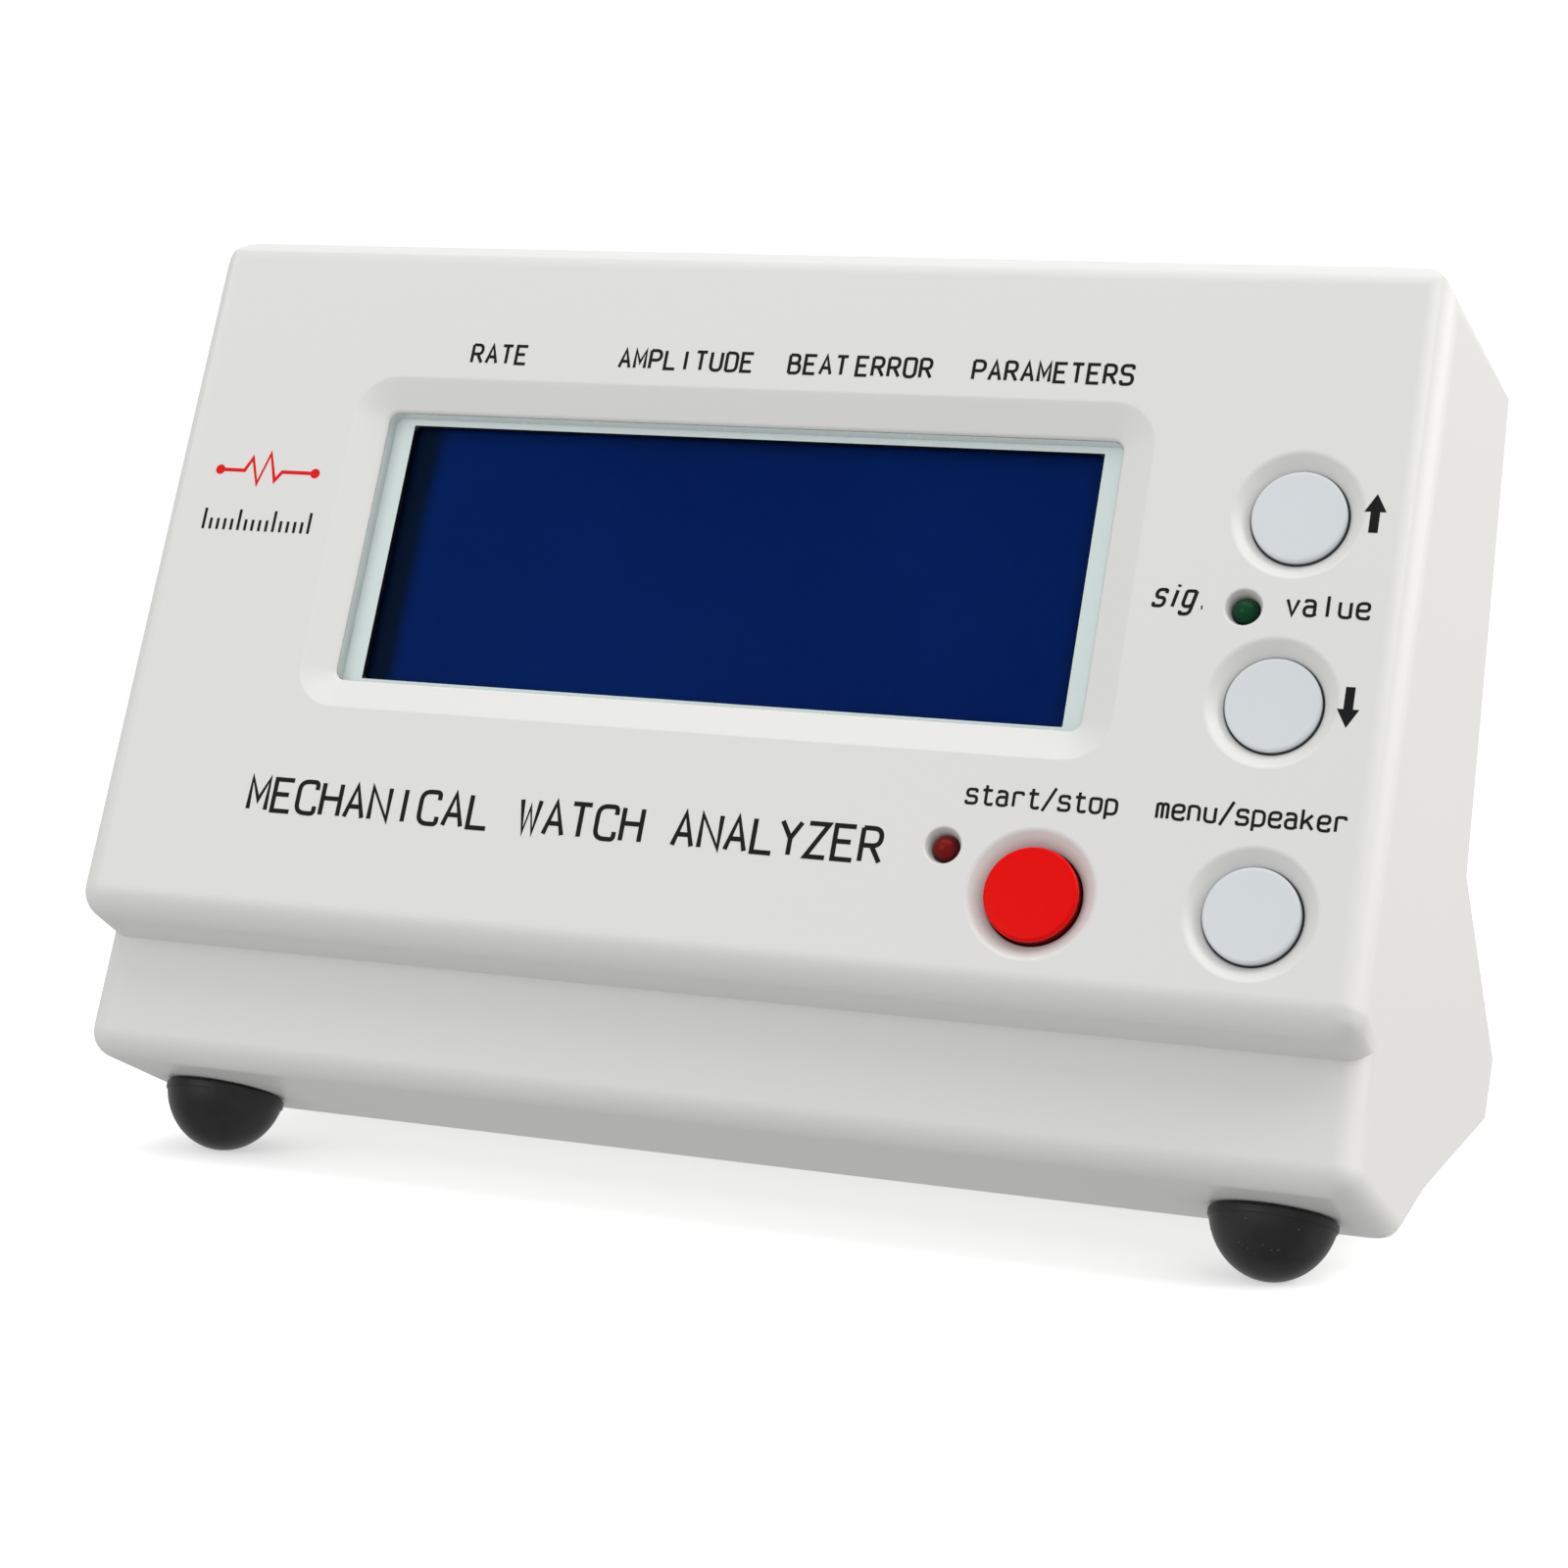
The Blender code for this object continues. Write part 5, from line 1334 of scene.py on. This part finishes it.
def speaker():
    """Pressed basket, corrugated paper cone and magnet."""
    face, rim = -WALL - GAP, SPEAKER_RADIUS
    floor_radius, hub_radius, lip_width, sheet = 12.0, 7.0, 2.5, 1.2
    floor = face - 7.7
    mesh = bmesh.new()
    profile = [(rim, face), (rim, face - 1.5), (floor_radius, floor), (hub_radius, floor),
               (hub_radius, floor + sheet), (floor_radius - 0.6, floor + sheet), (rim - lip_width, face - 2.0),
               (rim - lip_width, face)]
    segments = 64
    sections = []
    for step in range(segments):
        turn = Matrix.Rotation(math.tau * step / segments, 4, "Z")
        sections.append([mesh.verts.new(turn @ Vector((radius, 0.0, height))) for radius, height in profile])
    loft(mesh, sections, closed=True)
    basket = mesh_object("speaker_frame", mesh, SPEAKER)
    shade(basket)
    keep(basket, "bright_steel", ["speaker_basket"])

    edge, paper, dust_cap = 14.8, 0.5, 4.0
    waves = [(edge - 0.12 * i, face - 0.75 + 0.22 * math.cos(i * math.pi / 3)) for i in range(1, 24)]
    under = [(radius, height - paper) for radius, height in reversed(waves)]
    cone = [(0.0, face - 5.0), (dust_cap, face - 5.0), *under, (edge, face - 1.0), (edge, face - 1.0 + paper),
            *waves, (dust_cap, face - 4.2), (1.5, face - 3.9), (0.0, face - 3.8)]
    lathe_piece("speaker_paper", cone, SPEAKER, "paper_cone", ["speaker_cone"])
    magnet_radius, flat_radius, magnet_face = 9.5, 3.0, face - 8.0
    rounded = [(flat_radius, -SPEAKER_BACK), (magnet_radius, -SPEAKER_BACK), (magnet_radius, magnet_face),
               (flat_radius, magnet_face)]
    magnet = [(0.0, -SPEAKER_BACK)] + soften(rounded, [0.5, 0.5]) + [(0.0, magnet_face)]
    lathe_piece("speaker_ferrite", magnet, SPEAKER, "ferrite", ["speaker_magnet"])


def socket_signs():
    """Printed signs beside the sockets: direct current, and a sound wave for the pickup."""
    mesh = bmesh.new()
    weight = 0.4
    x, y = POWER_SOCKET[0], POWER_SOCKET[1] + 9.5
    draw_stroke(mesh, [(x - 2.4, y + 0.6), (x + 2.4, y + 0.6)], weight, INK_TOP)
    for middle in (-1.8, 0.0, 1.8):
        draw_stroke(mesh, [(x + middle - 0.6, y - 0.6), (x + middle + 0.6, y - 0.6)], weight, INK_TOP)
    x, y = PICKUP_SOCKET[0] - 2.0, PICKUP_SOCKET[1] + 11.5
    spread, steps = 0.9, 12
    for reach in (1.2, 2.2, 3.2):
        angles = [spread * (2 * step / steps - 1) for step in range(steps + 1)]
        draw_stroke(mesh, [(x + reach * math.cos(a), y + reach * math.sin(a)) for a in angles], weight, INK_TOP)
    plate(mesh, circle(0.45, (x, y), 20), INK_ROOT, INK_TOP)
    item = mesh_object("socket_signs", mesh, REAR_WALL)
    keep(item, "black_plastic", finish=BLACK_INK)


# ---------------------------------------------------------------------------------------------------
# the rest of the CAD pieces, ground, light and camera

def finish_cad_nodes():
    """Give every CAD node that stays its own finish, by its slot in the record."""
    for entry in frame["record"]["subparts"]:
        node = frame["nodes"][entry["node"]]
        if node.hide_render:
            continue
        finish = FINISHES[entry["material_slot"]]
        if not node.material_slots:
            node.data.materials.append(finish)
        for place in node.material_slots:
            place.material = finish


def stage():
    """Pale ground that curves up behind the object."""
    mesh = bmesh.new()
    front, back, half, bend, top = -2500.0, 1500.0, 3500.0, 700.0, 2600.0
    section = [(front, 0.0), (back, 0.0)]
    steps = 16
    for step in range(1, steps + 1):
        angle = math.pi / 2 * step / steps
        section.append((back + bend * math.sin(angle), bend * (1 - math.cos(angle))))
    section.append((back + bend, top))
    sides = [[mesh.verts.new((x, y, z)) for y, z in section] for x in (-half, half)]
    for i in range(len(section) - 1):
        mesh.faces.new((sides[0][i], sides[1][i], sides[1][i + 1], sides[0][i + 1]))
    item = mesh_object("studio_ground", mesh)
    item.data.shade_smooth()
    item.data.materials.append(ground())
    item.visible_diffuse = False
    item.visible_glossy = False


def area_light(name, place, aim, size, power, colour=WHITE):
    """Soft box light; lengths in metres."""
    data = bpy.data.lights.new(name, "AREA")
    data.shape = "RECTANGLE"
    data.size, data.size_y = size
    data.energy = power
    data.color = colour
    item = bpy.data.objects.new(name, data)
    item.location = place
    item.rotation_euler = (Vector(aim) - Vector(place)).to_track_quat("-Z", "Y").to_euler()
    bpy.context.scene.collection.objects.link(item)


def lights():
    """A bright room that is dimmer below the horizon, with soft boxes above, at the right and at the left."""
    world = bpy.data.worlds.new("studio")
    world.use_nodes = True
    room = Tree(world.node_tree)
    _, _, height = room.along(room.add("ShaderNodeTexCoord"))
    strength = room.add("ShaderNodeMapRange", None, {
        "Value": height, "From Min": -0.95, "From Max": 0.1, "To Min": 0.49, "To Max": 0.66})
    sky = room.add("ShaderNodeBackground", None, {"Color": opaque(WHITE), "Strength": strength})
    room.add("ShaderNodeOutputWorld", None, {"Surface": sky})
    bpy.context.scene.world = world
    area_light("top_box", (0.0, -0.2, 1.0), (0.0, 0.0, 0.05), (1.2, 0.8), 3.0)
    area_light("right_box", (0.9, 0.2, 0.75), (0.0, 0.0, 0.07), (0.9, 0.9), 8.5, (1.0, 0.985, 0.965))
    area_light("left_box", (-0.5, -1.0, 0.4), (0.0, 0.0, 0.07), (0.8, 0.6), 2.0)


def camera():
    """Camera before the panel, to the right of its middle and a little above the feet."""
    right, back = Vector(VIEW_RIGHT), -Vector(VIEW_FORWARD)
    placed = PANEL @ frame_from(Vector(VIEW_FROM), right, back.cross(right))
    data = bpy.data.cameras.new("camera")
    data.lens = LENS_LENGTH
    data.sensor_width = SENSOR_WIDTH
    data.clip_start = 0.01
    item = bpy.data.objects.new("camera", data)
    bpy.context.scene.collection.objects.link(item)
    item.matrix_world = Matrix.Translation(placed.translation * MM) @ placed.to_3x3().normalized().to_4x4()
    bpy.context.scene.camera = item


camera()
front_housing()
rear_cover()
feet()
window_border()
for button_name, middle in BUTTONS.items():
    button(button_name, middle)
for lamp_name, middle in LAMPS.items():
    lamp(lamp_name, middle)
panel_legends()
panel_emblem()
tick_scale()
screws()
chip_legs()
sockets()
speaker()
socket_signs()
finish_cad_nodes()
stage()
lights()
bpy.context.scene.view_settings.view_transform = "Standard"
